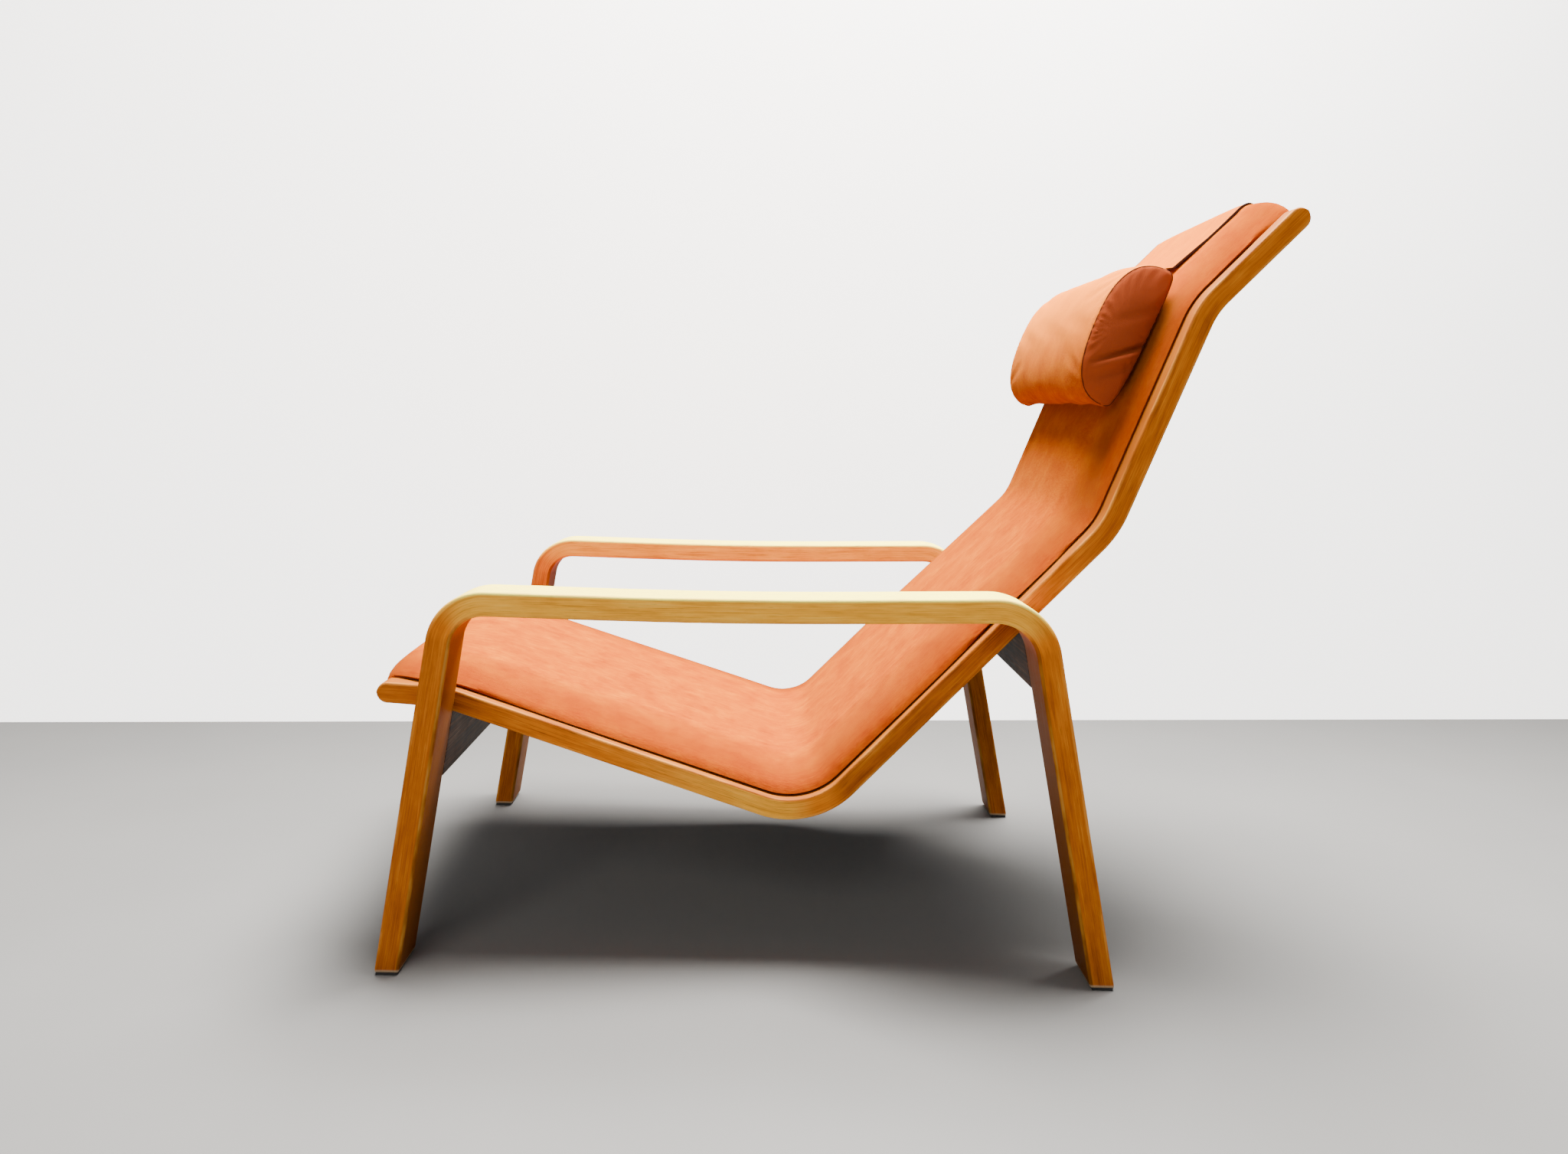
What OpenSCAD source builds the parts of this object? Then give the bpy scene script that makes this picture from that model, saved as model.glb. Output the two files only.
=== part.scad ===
// Lounge chair with bent laminated side frames and zig-zag seat rails.
// X is across the chair, the chair faces -Y, +Z is up. Millimetres and degrees.
// The origin lies on the floor, under the centre of the bounding box.

/* [Overall] */
// Width over both side frames
overall_w = 660; // [560:1:760]

/* [Side frames] */
// Width of a side frame, across the chair
frame_w = 65; // [55:1:75]
// Thickness of the laminated strip of a side frame
frame_t = 27; // [24:0.5:32]
// Distance from the nose of the seat rails back to the front foot
foot_setback = 27.5; // [10:0.5:60]
// Distance between the centres of front and rear foot, on the floor
foot_spread = 800; // [740:1:860]
// Lean of the front leg from upright
front_lean = 8.9; // [6:0.1:12]
// Lean of the rear leg from upright
rear_lean = 12.2; // [9:0.1:15]
// Height of the arm's centre line at the front corner
arm_front_h = 419.5; // [405:0.5:440]
// Height of the arm's centre line at its lowest place
arm_dip_h = 417.5; // [400:0.5:435]
// Height of the arm's centre line at the rear corner
arm_rear_h = 428.5; // [415:0.5:450]
// Distance from the front corner back to the arm's lowest place
arm_dip_back = 297; // [200:1:380]
// Bend radius of the front corner, on the centre line
front_corner_r = 50; // [40:1:65]
// Bend radius of the rear corner, on the centre line
rear_corner_r = 60; // [45:1:75]
// Length of the arm's shallow curve on each side of its lowest place
arm_dip_run = 140; // [60:5:200]
// Height of the glide under each foot
glide_h = 3; // [2:0.5:5]
// How far a glide stays inside the edge of its foot
glide_inset = 2; // [1:0.5:4]
// Diameter of the pin of a glide
glide_pin_d = 5; // [3:0.5:6]
// Length of the pin of a glide
glide_pin_l = 16; // [10:1:25]

/* [Seat rails] */
// Width of a seat rail, across the chair
rail_w = 28; // [24:1:34]
// Thickness of the laminated strip of a seat rail
rail_t = 24; // [24:0.5:26]
// Height of the centre line at the front end of a rail
rail_front_h = 305; // [295:1:320]
// Length of the stretch at the nose
nose_len = 64; // [56:1:80]
// Fall of the stretch at the nose
nose_fall = 3; // [0:0.1:6]
// Length of the seat stretch
seat_len = 441.5; // [425:0.5:460]
// Fall of the seat towards the back
seat_fall = 17.9; // [15:0.1:20]
// Length of the lower back stretch
lumbar_len = 476.5; // [455:0.5:495]
// Rise of the lower back
lumbar_rise = 46.9; // [44:0.1:50]
// Length of the upper back stretch
back_len = 265; // [250:1:285]
// Rise of the upper back
back_rise = 69.5; // [66:0.1:73]
// Length of the stretch at the top end
top_len = 134; // [130:1:150]
// Rise of the top stretch
top_rise = 46.5; // [43:0.1:50]
// Bend radius between nose and seat, on the centre line
nose_bend_r = 150; // [100:5:200]
// Bend radius at the lowest place of the seat
hip_bend_r = 93; // [80:1:105]
// Bend radius between lower and upper back
lumbar_bend_r = 115; // [95:1:130]
// Bend radius below the top stretch
neck_bend_r = 95; // [80:1:110]

/* [Boards and cross rails] */
// Thickness of the two cross boards
board_t = 22; // [18:1:24]
// Depth of a cross board below the seat rails
board_depth = 75; // [60:1:90]
// Diameter of the dowels of the cross boards
board_dowel_d = 10; // [8:1:12]
// Length of the dowels of the cross boards
board_dowel_l = 50; // [40:1:60]
// Width of the nose cross rail
nose_cross_w = 38; // [32:1:42]
// Width of the hip cross rail
hip_cross_w = 50; // [40:1:60]
// Width of the back cross rail
back_cross_w = 40; // [30:1:44]
// Height of the top panel's lower edge above the neck bend's corner
top_panel_start = 14; // [12:1:18]
// Diameter of the dowels of the cross rails
dowel_d = 8; // [6:0.5:8]
// Length of the dowels of the cross rails
dowel_l = 36; // [28:1:40]

/* [Bolts] */
// Thread diameter of the bolts between rails and side frames
bolt_d = 8; // [6:1:8]
// Diameter of a bolt head
bolt_head_d = 13; // [11:0.5:14]
// Height of a bolt head
bolt_head_h = 8; // [6:0.5:8]
// Diameter of a washer
washer_d = 17; // [15:0.5:17]
// Thickness of a washer
washer_t = 1.6; // [1:0.1:2]
// Outer diameter of a threaded insert
insert_d = 12; // [11:0.5:13]
// Length of a threaded insert
insert_l = 20; // [16:1:25]

/* [Webbing] */
// Width of a web strap
strap_w = 48; // [40:1:50]
// Thickness of a web strap
strap_t = 2; // [1.5:0.1:2.5]
// Least gap between neighbouring straps
strap_gap = 12; // [6:1:20]
// Depth of the pocket that takes the end of a strap
strap_pocket = 8; // [6:1:9]
// Sheet thickness of a strap clip
clip_t = 0.7; // [0.5:0.1:0.9]

/* [Upholstery] */
// Side gap between the pad and a seat rail
pad_gap = 1; // [0.5:0.1:2]
// Thickness of the fabric cover
cover_t = 1.6; // [1.2:0.1:2]
// Rise of the pad above the rails, at the nose
crown_nose = 33; // [28:1:38]
// Rise of the pad above the rails, at the hip bend
crown_hip = 49; // [42:1:54]
// Rise of the pad above the rails, along the upper back
crown_back = 31; // [26:1:36]
// Rise of the pad above the rails, at the top
crown_top = 24; // [18:1:32]
// How far the pad's top end swells out past the lip in its middle
end_swell = 28; // [15:1:32]
// Length over which the pad rounds down at its ends
pad_round = 31; // [26:1:38]
// Turned-in length of the cover behind the nose and the top
lip_len = 13; // [10:1:16]
// Thickness of the cloth under the webbing
under_cloth_t = 1; // [0.6:0.1:1.4]
// Distance between the tacks of the cover
tack_pitch = 44; // [36:1:60]

/* [Head cushion] */
// Distance from the pad's side in to the head cushion's end panel
head_inset = 29; // [20:1:45]
// Height of the head cushion along the back
head_h = 164; // [150:1:175]
// Depth of the head cushion at an end panel
head_depth = 56; // [52:1:66]
// Extra depth in the middle of the head cushion
head_belly = 2; // [0:1:12]
// Height of the cushion's centre above the lumbar bend's corner
head_up = 216; // [208:1:220]
// Diameter of the piping round the end panels
piping_d = 5; // [4:0.5:6]
// Distance from the pad's side in to the flap's binding
flap_inset = 84; // [70:1:100]
// Thickness of the flap
flap_t = 2; // [1.5:0.1:2.2]
// Width of the leather binding at each edge of the flap
binding_w = 4; // [3:0.5:6]
// Height of the leather tail band
tail_h = 20; // [16:1:22]
// Distance from the neck bend's corner to the tail band
tail_up = 35; // [33:1:38]
// How far the head cushion slides down
slide_down = 60; // [40:1:60]
// Distance between the rows of press studs
stud_pitch = 30; // [25:1:30]
// Press studs in a row
stud_count = 5; // [3:1:7]
// Diameter of a press stud's cap
stud_cap_d = 11; // [9:0.5:13]

/* [Hidden] */

$fn = 32;
wood = "#C68A3C";
inner_wood = "#C9A878";
dark_wood = "#4A3A36";
steel = "#A8ABB0";
webbing = "#4B4038";
foam = "#E9DDB5";
fabric = "#E8794A";
leather = "#4A2A1A";
black = "#1C1C1E";

// Small distances between pieces
soft_gap = 0.3;
flap_gap = 0.5;
hole_gap = 0.3;
eps = 0.01;

// Levels across the thickness of the rails, measured from the centre line
strap_top = 7;
cross_low = -7.5;
lip_low = cross_low - cover_t;
flap_low = lip_low - flap_gap;
tack_head_t = 0.4;

// Distances across the chair
frame_in = overall_w / 2 - frame_w;
rail_in = frame_in - rail_w;
pad_half = rail_in - pad_gap;
head_w = 2 * (pad_half - head_inset);
flap_half = pad_half - flap_inset - binding_w;

function along(a) = [cos(a), sin(a)];
function upright(a) = [-sin(a), cos(a)];
function total(v, n) = n <= 0 ? 0 : v[n - 1] + total(v, n - 1);

// Seat rail path: straight stretches joined by round bends
seg_l = [nose_len, seat_len, lumbar_len, back_len, top_len];
seg_a = [-nose_fall, -seat_fall, lumbar_rise, back_rise, top_rise];
bend_r = [nose_bend_r, hip_bend_r, lumbar_bend_r, neck_bend_r];
last = len(seg_l) - 1;
function reach(n) = n <= 0 ? [0, 0] : reach(n - 1) + seg_l[n - 1] * along(seg_a[n - 1]);
rail_depth = reach(last + 1)[0] + rail_t;
rail_start = [(rail_t - rail_depth) / 2, rail_front_h];
corner = [for (i = [0:last + 1]) rail_start + reach(i)];
turn = [for (i = [0:last - 1]) seg_a[i + 1] - seg_a[i]];
bend_t = [for (i = [0:last - 1]) bend_r[i] * tan(abs(turn[i]) / 2)];
part_l = [for (k = [0:2 * last]) k % 2 == 1
  ? bend_r[(k - 1) / 2] * abs(turn[(k - 1) / 2]) * PI / 180
  : seg_l[k / 2] - (k > 0 ? bend_t[k / 2 - 1] : 0) - (k < 2 * last ? bend_t[k / 2] : 0)];
part_s = [for (k = [0:2 * last]) total(part_l, k)];
path_len = total(part_l, 2 * last + 1);
bend_steps = 10;

function part_of(s) = max([for (k = [0:2 * last]) k == 0 || s >= part_s[k] ? k : 0]);
// Place and direction of the centre line at the distance s from its front end
function straight_at(i, d) = let (a = seg_a[i], skip = i > 0 ? bend_t[i - 1] : 0)
  [corner[i] + (skip + d) * along(a), a];
function bend_at(i, d) =
  let (a0 = seg_a[i], side = sign(turn[i]), r = bend_r[i])
  let (start = corner[i + 1] - bend_t[i] * along(a0), centre = start + side * r * upright(a0))
  let (a = a0 + side * d / r * 180 / PI)
  [centre - side * r * upright(a), a];
function path_at(s) = let (k = part_of(s), d = s - part_s[k])
  k % 2 == 1 ? bend_at((k - 1) / 2, d) : straight_at(k / 2, d);
function on_path(s, n) = let (p = path_at(s)) p[0] + n * upright(p[1]);

// A place beside a straight stretch, measured from that stretch's first corner
function beside(i, d, n) = corner[i] + d * along(seg_a[i]) + n * upright(seg_a[i]);
function seg_s(i, d) = part_s[2 * i] + d - (i > 0 ? bend_t[i - 1] : 0);

// Distances along the path that a ribbon needs for its bends
bend_marks = [for (k = [1:2:2 * last - 1]) for (j = [0:bend_steps])
  part_s[k] + part_l[k] * j / bend_steps];
function marks(s0, s1) = concat([s0], [for (s = bend_marks) if (s > s0 && s < s1) s], [s1]);
function backwards(v) = [for (i = [len(v) - 1:-1:0]) v[i]];
function arc(c, r, a0, a1, steps) = [for (j = [0:steps]) c + r * along(a0 + (a1 - a0) * j / steps)];

function ribbon(s0, s1, n0, n1) = concat(
  [for (s = marks(s0, s1)) on_path(s, n1)],
  [for (s = backwards(marks(s0, s1))) on_path(s, n0)]);

// The rail profile, with half-round ends
rail_profile = concat(
  [for (s = marks(0, path_len)) on_path(s, rail_t / 2)],
  arc(corner[last + 1], rail_t / 2, seg_a[last] + 75, seg_a[last] - 75, 10),
  [for (s = backwards(marks(0, path_len))) on_path(s, -rail_t / 2)],
  arc(corner[0], rail_t / 2, seg_a[0] + 255, seg_a[0] + 105, 10));

// Side frame path: front foot, front corner, dip of the arm, rear corner, rear foot
front_foot = [corner[0][0] - rail_t / 2 + foot_setback, 0];
rear_foot = front_foot + [foot_spread, 0];
front_corner = [front_foot[0] + arm_front_h * tan(front_lean), arm_front_h];
rear_corner = [rear_foot[0] - arm_rear_h * tan(rear_lean), arm_rear_h];
arm_dip = [front_corner[0] + arm_dip_back, arm_dip_h];
frame_corners = [front_foot, front_corner, arm_dip, rear_corner, rear_foot];
frame_a = [for (i = [0:3]) let (d = frame_corners[i + 1] - frame_corners[i]) atan2(d[1], d[0])];
arm_dip_r = arm_dip_run / tan(max(0.05, abs(frame_a[2] - frame_a[1]) / 2));
frame_r = [0, front_corner_r, arm_dip_r, rear_corner_r];

function frame_bend(i) =
  let (t = frame_a[i] - frame_a[i - 1], side = sign(t), r = frame_r[i], steps = abs(t) > 20 ? 14 : 4)
  let (start = frame_corners[i] - r * tan(abs(t) / 2) * along(frame_a[i - 1]))
  let (centre = start + side * r * upright(frame_a[i - 1]))
  [for (j = [0:steps]) let (a = frame_a[i - 1] + t * j / steps) [centre - side * r * upright(a), a]];
frame_bends = concat(frame_bend(1), frame_bend(2), frame_bend(3));

// A foot is cut level, so its two edges end at one height
function foot_end(foot, a, n, h) = let (p = foot + n * upright(a))
  p + (h - p[1]) / sin(a) * along(a);
function frame_edge(n) = concat(
  [foot_end(front_foot, frame_a[0], n, glide_h)],
  [for (b = frame_bends) b[0] + n * upright(b[1])],
  [foot_end(rear_foot, frame_a[3], n, glide_h)]);
frame_profile = concat(frame_edge(frame_t / 2), backwards(frame_edge(-frame_t / 2)));

// Where a seat rail is bolted to a side frame
function cross_point(p, a, q, b) = let (d = q - p, u = along(a), v = along(b))
  p + u * (d[0] * v[1] - d[1] * v[0]) / (u[0] * v[1] - u[1] * v[0]);
front_bolt = cross_point(front_foot, frame_a[0], corner[1], seg_a[1]);
rear_bend = frame_bend(3);
rear_mid = rear_bend[7][0];
rear_bolt = cross_point(rear_mid, seg_a[2] + 90, corner[2], seg_a[2]);
bolt_places = [front_bolt, rear_bolt];
bolt_recess = bolt_head_h + washer_t + 0.4;

// Straps: evenly spread over each straight stretch, clear of bends and bolts
bolt_room = washer_d / 2 + strap_w / 2 + strap_gap / 2;
bend_room = strap_w / 2 + strap_gap / 4;
front_bolt_d = (front_bolt - corner[1]) * along(seg_a[1]);
rear_bolt_d = (rear_bolt - corner[2]) * along(seg_a[2]);
back_low = back_len - bend_t[3] - back_cross_w;
function spread(i, d0, d1) = let (n = floor((d1 - d0) / (strap_w + strap_gap)))
  [for (k = [0:n]) seg_s(i, d0 + (d1 - d0) * k / max(1, n))];
seat_set = spread(1, max(front_bolt_d + bolt_room, bend_t[0] + bend_room), seat_len - bend_t[1] - bend_room);
back_set = concat(
  spread(2, bend_t[1] + bend_room, rear_bolt_d - bolt_room),
  [seg_s(2, rear_bolt_d + bolt_room)],
  spread(3, bend_t[2] + bend_room, back_low - bend_room));

// Cross rails: start and end along the path
hip_mid = part_s[3] + part_l[3] / 2;
nose_cross = [0, nose_cross_w];
hip_cross = [hip_mid - hip_cross_w / 2, hip_mid + hip_cross_w / 2];
back_cross = [seg_s(3, back_low), seg_s(3, back_low + back_cross_w)];
top_cross = [seg_s(4, top_panel_start), path_len];
cross_rails = [nose_cross, hip_cross, back_cross, top_cross];

// Where the flap comes to lie on the pad, and the next places along it
flap_start = 38;
flap_marks = [for (d = [flap_start, 62, 86]) seg_s(4, d)];
flap_line_start = flap_marks[0];

// Pad: rise of its middle above the rails, and its shape across the chair
crown_marks = [[0, crown_nose], [hip_mid, crown_hip], [seg_s(3, 0), crown_back],
  [seg_s(3, back_len - bend_t[3]), crown_back], [path_len, crown_top]];
function crown_at(s) = lookup(s, crown_marks);
fullness_marks = [[seg_s(3, back_len - bend_t[3]), 3], [path_len, 6]];
function across_shape(x, s) = let (u = min(1, abs(x) / pad_half))
  pow(1 - pow(u, lookup(s, fullness_marks)), 0.6);
pad_edge = strap_top + soft_gap + cover_t;
function pad_top(s, x) = pad_edge + (rail_t / 2 - pad_edge + crown_at(s)) * across_shape(x, s);

// Places on the pad's surface, moved outwards by d, in distance and level
nose_wall_h = 8;
round_steps = 5;
function pad_end(end_s, side, x, d, a) =
  let (r = -lip_low + d, top_s = end_s - side * (pad_round + lip_low))
  let (top_n = pad_top(top_s, x) + d)
  let (swell = side > 0 ? end_swell * across_shape(x, path_len) * sin(a) : 0)
  [end_s + side * (r + swell - (pad_round + d) * (1 - cos(a))), nose_wall_h + (top_n - nose_wall_h) * sin(a)];
function end_lip(end_s, side, d, steps) = [for (j = [steps:-1:0])
  let (a = -90 * j / steps, r = -lip_low + d) [end_s + side * r * cos(a), r * sin(a)]];
function end_round(end_s, side, x, d) =
  [for (j = [0:round_steps]) pad_end(end_s, side, x, d, 90 * j / round_steps)];
pad_marks = concat(
  [pad_round + 3, part_s[1], part_s[1] + part_l[1] / 2, part_s[2], seg_s(1, seat_len / 2)],
  [for (j = [0:6]) part_s[3] + part_l[3] * j / 6],
  [seg_s(2, lumbar_len / 2)],
  [for (j = [0:3]) part_s[5] + part_l[5] * j / 3],
  [seg_s(3, back_len / 2)],
  [for (j = [0:3]) part_s[7] + part_l[7] * j / 3],
  flap_marks);
function pad_line(x, d) = concat(
  end_lip(0, -1, d, 3), end_round(0, -1, x, d),
  [for (s = pad_marks) [s, pad_top(s, x) + d]],
  backwards(end_round(path_len, 1, x, d)), backwards(end_lip(path_len, 1, d, 3)));
function place(x, line) = [for (q = line) let (p = on_path(q[0], q[1])) [x, p[0], p[1]]];
function narrowed(x, d) = x * (1 + d / pad_half);

tail_s = [seg_s(4, tail_up), seg_s(4, tail_up + tail_h)];
stud_s = (tail_s[0] + tail_s[1]) / 2;

// Closed solid through a row of loops with equal, even numbers of points
module skin(loops, other_split = false) {
  n = len(loops[0]);
  m = len(loops);
  points = [for (l = loops) for (p = l) p];
  sides = [for (k = [0:m - 2]) for (i = [0:n - 1])
    let (j = (i + 1) % n, a = k * n + i, b = a + n, c = (k + 1) * n + j, d = k * n + j)
    each other_split ? [[a, b, d], [b, c, d]] : [[a, b, c], [a, c, d]]];
  first = [for (i = [0:n / 2 - 2]) each [[i, i + 1, n - 1 - i], [i + 1, n - 2 - i, n - 1 - i]]];
  caps = concat(first, [for (f = first) [for (i = backwards(f)) (m - 1) * n + i]]);
  polyhedron(points, concat(sides, caps), convexity = 8);
}

// Extrudes a profile drawn in Y and Z across the chair
module across(x0, x1) {
  translate([x0, 0, 0]) rotate([90, 0, 90]) linear_extrude(x1 - x0) children();
}

// Puts a child on the path: its Y runs along the path, its Z away from the floor side
module on_rail(s, n) {
  p = path_at(s);
  q = on_path(s, n);
  translate([0, q[0], q[1]]) rotate([p[1], 0, 0]) children();
}

// Round bar along X
module cross_bar(place, d, x0, x1) {
  translate([x0, place[0], place[1]]) rotate([0, 90, 0]) cylinder(d = d, h = x1 - x0);
}

// Draws a child on both sides of the chair, on the left or on the right
module one_side(side) {
  if (side > 0) children();
  else mirror([1, 0, 0]) children();
}
module both_sides() {
  for (side = [1, -1]) one_side(side) children();
}

// Side frames
module side_frame(side) {
  color(wood) one_side(side) difference() {
    across(frame_in, overall_w / 2) polygon(frame_profile);
    for (place = bolt_places) cross_bar(place, insert_d, frame_in - 1, frame_in + insert_l);
    for (place = board_dowel_places) cross_bar(place, board_dowel_d, frame_in - 1, frame_in + board_dowel_l / 2);
    for (foot = [front_foot, rear_foot])
      translate([frame_in + frame_w / 2, foot[0] + pin_shift(foot), 0])
        cylinder(d = glide_pin_d, h = glide_h + glide_pin_l);
  }
}
function pin_shift(foot) = foot == front_foot
  ? (glide_h + glide_pin_l / 2) * tan(front_lean) : -(glide_h + glide_pin_l / 2) * tan(rear_lean);

module foot_glides() {
  foot_l = frame_t - 2 * glide_inset;
  color(black) both_sides() for (foot = [front_foot, rear_foot]) {
    translate([frame_in + glide_inset, foot[0] - foot_l / 2, 0])
      cube([frame_w - 2 * glide_inset, foot_l, glide_h]);
    translate([frame_in + frame_w / 2, foot[0] + pin_shift(foot), 0])
      cylinder(d = glide_pin_d, h = glide_h + glide_pin_l);
  }
}

// Cross boards: each lies along its leg and is cut to the underside of the rails
under_rail = concat(
  [for (s = marks(0, path_len)) on_path(s, -rail_t / 2)],
  [corner[last + 1] + [0, 400], corner[0] + [0, 600], corner[0] + [-60, 0]]);
function board_profile(foot, a, face, low) =
  let (p = foot + low / sin(a) * along(a), w = upright(a))
  [p + face[0] * w, p + face[1] * w, p + face[1] * w + 260 * along(a), p + face[0] * w + 260 * along(a)];
front_face = [-frame_t / 2, -frame_t / 2 + board_t];
rear_up = frame_a[3] + 180;
rear_face = [frame_t / 2 - board_t, frame_t / 2];
front_meet = cross_point(front_foot, frame_a[0], on_path(seg_s(0, nose_len) + 8, -rail_t / 2), seg_a[0]);
rear_meet = cross_point(rear_foot, rear_up, beside(2, 0, -rail_t / 2), seg_a[2]);
front_low = front_meet[1] - board_depth;
rear_low = rear_meet[1] - board_depth;
function board_dowel_row(foot, a, face, low) = [for (up = [18, board_depth - 22])
  foot + (low + up) / sin(a) * along(a) + (face[0] + face[1]) / 2 * upright(a)];
board_dowel_places = concat(
  board_dowel_row(front_foot, frame_a[0], front_face, front_low),
  board_dowel_row(rear_foot, rear_up, rear_face, rear_low));

module board(foot, a, face, low) {
  color(dark_wood) difference() {
    across(-frame_in, frame_in) difference() {
      polygon(board_profile(foot, a, face, low));
      polygon(under_rail);
    }
    both_sides() for (place = board_dowel_places)
      cross_bar(place, board_dowel_d, frame_in - board_dowel_l / 2, frame_in + 1);
  }
}
module front_board() { board(front_foot, frame_a[0], front_face, front_low); }
module rear_board() { board(rear_foot, rear_up, rear_face, rear_low); }

module board_dowels() {
  color(inner_wood) both_sides() for (place = board_dowel_places)
    cross_bar(place, board_dowel_d, frame_in - board_dowel_l / 2, frame_in + board_dowel_l / 2);
}

// Seat rails
module seat_rail(side) {
  color(wood) one_side(side) difference() {
    across(rail_in, frame_in) polygon(rail_profile);
    for (place = bolt_places) {
      cross_bar(place, washer_d + 1, rail_in - 1, rail_in + bolt_recess);
      cross_bar(place, bolt_d + 2 * hole_gap, rail_in - 1, frame_in + 1);
    }
    for (rail = cross_rails) for (s = dowel_pair(rail))
      cross_bar(on_path(s, dowel_level), dowel_d, rail_in - 1, rail_in + dowel_l / 2);
    for (s = concat(seat_set, back_set)) on_rail(s, strap_top - strap_t / 2)
      translate([rail_in - 1, -strap_w / 2 - 1, -strap_t / 2 - clip_t])
        cube([strap_pocket + 1, strap_w + 2, strap_t + 2 * clip_t]);
  }
}

module rail_bolts() {
  head_x = rail_in + bolt_recess - washer_t - bolt_head_h;
  color(steel) both_sides() for (place = bolt_places) {
    difference() {
      cross_bar(place, bolt_head_d, head_x, head_x + bolt_head_h);
      cross_bar(place, bolt_d * 0.75, head_x - 1, head_x + bolt_head_h / 2);
    }
    cross_bar(place, bolt_d, head_x + bolt_head_h - eps, frame_in + insert_l - 2);
  }
}

module bolt_washers() {
  color(steel) both_sides() for (place = bolt_places) difference() {
    cross_bar(place, washer_d, rail_in + bolt_recess - washer_t, rail_in + bolt_recess);
    cross_bar(place, bolt_d + hole_gap, rail_in, rail_in + bolt_recess + 1);
  }
}

module threaded_inserts() {
  color("#B79A55") both_sides() for (place = bolt_places) difference() {
    cross_bar(place, insert_d, frame_in, frame_in + insert_l);
    cross_bar(place, bolt_d, frame_in - 1, frame_in + insert_l + 1);
  }
}

// Cross rails, carried by dowels between the seat rails
dowel_level = (strap_top + cross_low) / 2;
function dowel_pair(rail) = let (edge = 11) [rail[0] + edge, rail[1] - edge];

module cross_rail(rail) {
  color(inner_wood) difference() {
    across(-rail_in, rail_in) polygon(ribbon(rail[0], rail[1], cross_low, strap_top));
    both_sides() for (s = dowel_pair(rail))
      cross_bar(on_path(s, dowel_level), dowel_d, rail_in - dowel_l / 2, rail_in + 1);
    children();
  }
}

// Nose and top carry a half-round edge, so that the cover turns round it
module end_edge(end_s, side) {
  r = -cross_low - hole_gap;
  points = [for (j = [0:6]) on_path(end_s + side * r * cos(-90 + 15 * j), r * sin(-90 + 15 * j))];
  half = pad_half - 2;
  color(inner_wood) across(-half, half)
    polygon(concat(points, [on_path(end_s + side * r * 0.8, strap_top - 1),
      on_path(end_s - side * eps, strap_top), on_path(end_s - side * eps, -r)]));
}
module nose_cross_rail() {
  cross_rail(nose_cross) tack_holes(nose_tack_s);
  end_edge(0, -1);
}
module hip_cross_rail() { cross_rail(hip_cross); }
module back_cross_rail() { cross_rail(back_cross); }
module top_panel() {
  cross_rail(top_cross) {
    tack_holes(top_tack_s);
    stud_rows(cross_low - 1, cross_low + 6, stud_shank_d);
  }
  end_edge(path_len, 1);
}

module cross_rail_dowels() {
  color(inner_wood) both_sides() for (rail = cross_rails) for (s = dowel_pair(rail))
    cross_bar(on_path(s, dowel_level), dowel_d, rail_in - dowel_l / 2, rail_in + dowel_l / 2);
}

// Webbing, stretched across the chair, with a steel clip at each end
module strap(s) {
  on_rail(s, strap_top - strap_t / 2)
    cube([2 * (rail_in + strap_pocket - clip_t - 0.5), strap_w, strap_t], center = true);
}
module seat_webbing() { color(webbing) for (s = seat_set) strap(s); }
module back_webbing() { color(webbing) for (s = back_set) strap(s); }

module webbing_clips() {
  clip_l = strap_pocket - 1;
  color(steel) both_sides() for (s = concat(seat_set, back_set))
    on_rail(s, strap_top - strap_t / 2) difference() {
      translate([rail_in + 0.5, -strap_w / 2, -strap_t / 2 - clip_t])
        cube([clip_l, strap_w, strap_t + 2 * clip_t]);
      translate([rail_in, -strap_w / 2 - 1, -strap_t / 2])
        cube([clip_l + 0.5 - clip_t, strap_w + 2, strap_t]);
    }
}

// Pad: a crowned foam core inside a fabric cover that turns in at both ends
pad_stations = [for (a = [-90, -78, -64, -48, -32, -16, 0, 16, 32, 48, 64, 78, 90]) pad_half * sin(a)];

module pad_cover() {
  ends = [lip_len, path_len - lip_len];
  color(fabric) skin([for (x = pad_stations) concat(
    place(x, concat([[ends[0], lip_low]], pad_line(x, 0), [[ends[1], lip_low]])),
    place(narrowed(x, -cover_t), backwards(concat(
      [[ends[0], cross_low]], pad_line(x, -cover_t), [[ends[1], cross_low]]))))]);
}

module pad_foam() {
  d = -cover_t - soft_gap;
  low = strap_top + soft_gap;
  round_a = [for (j = [2:round_steps]) 90 * j / round_steps];
  end_a = [for (j = [0:round_steps]) 90 * j / round_steps];
  color(foam) skin(other_split = true, loops = [for (x = pad_stations) if (abs(x) < pad_half - eps)
    let (line = concat(
      [for (r = round_a) pad_end(0, -1, x, d, r)],
      [for (s = pad_marks) [s, pad_top(s, x) + d]]))
    let (end_line = [for (r = backwards(end_a)) pad_end(path_len, 1, x, d, r)])
    place(narrowed(x, d), concat(line, end_line,
      [for (r = end_a) [path_len + 2 - r / 4, low]], [for (q = backwards(line)) [q[0], low]]))]);
}

// Tacks that hold the turned-in ends of the cover
nose_tack_s = lip_len - 5;
top_tack_s = path_len - lip_len + 5;
tack_d = 1.6;
tack_head_d = 7;
tack_l = 8;
tack_room = rail_in - dowel_l / 2 - tack_head_d;
tack_count = floor(tack_room / tack_pitch);
tack_x = [for (i = [-tack_count:tack_count]) i * tack_room / tack_count];

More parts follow.
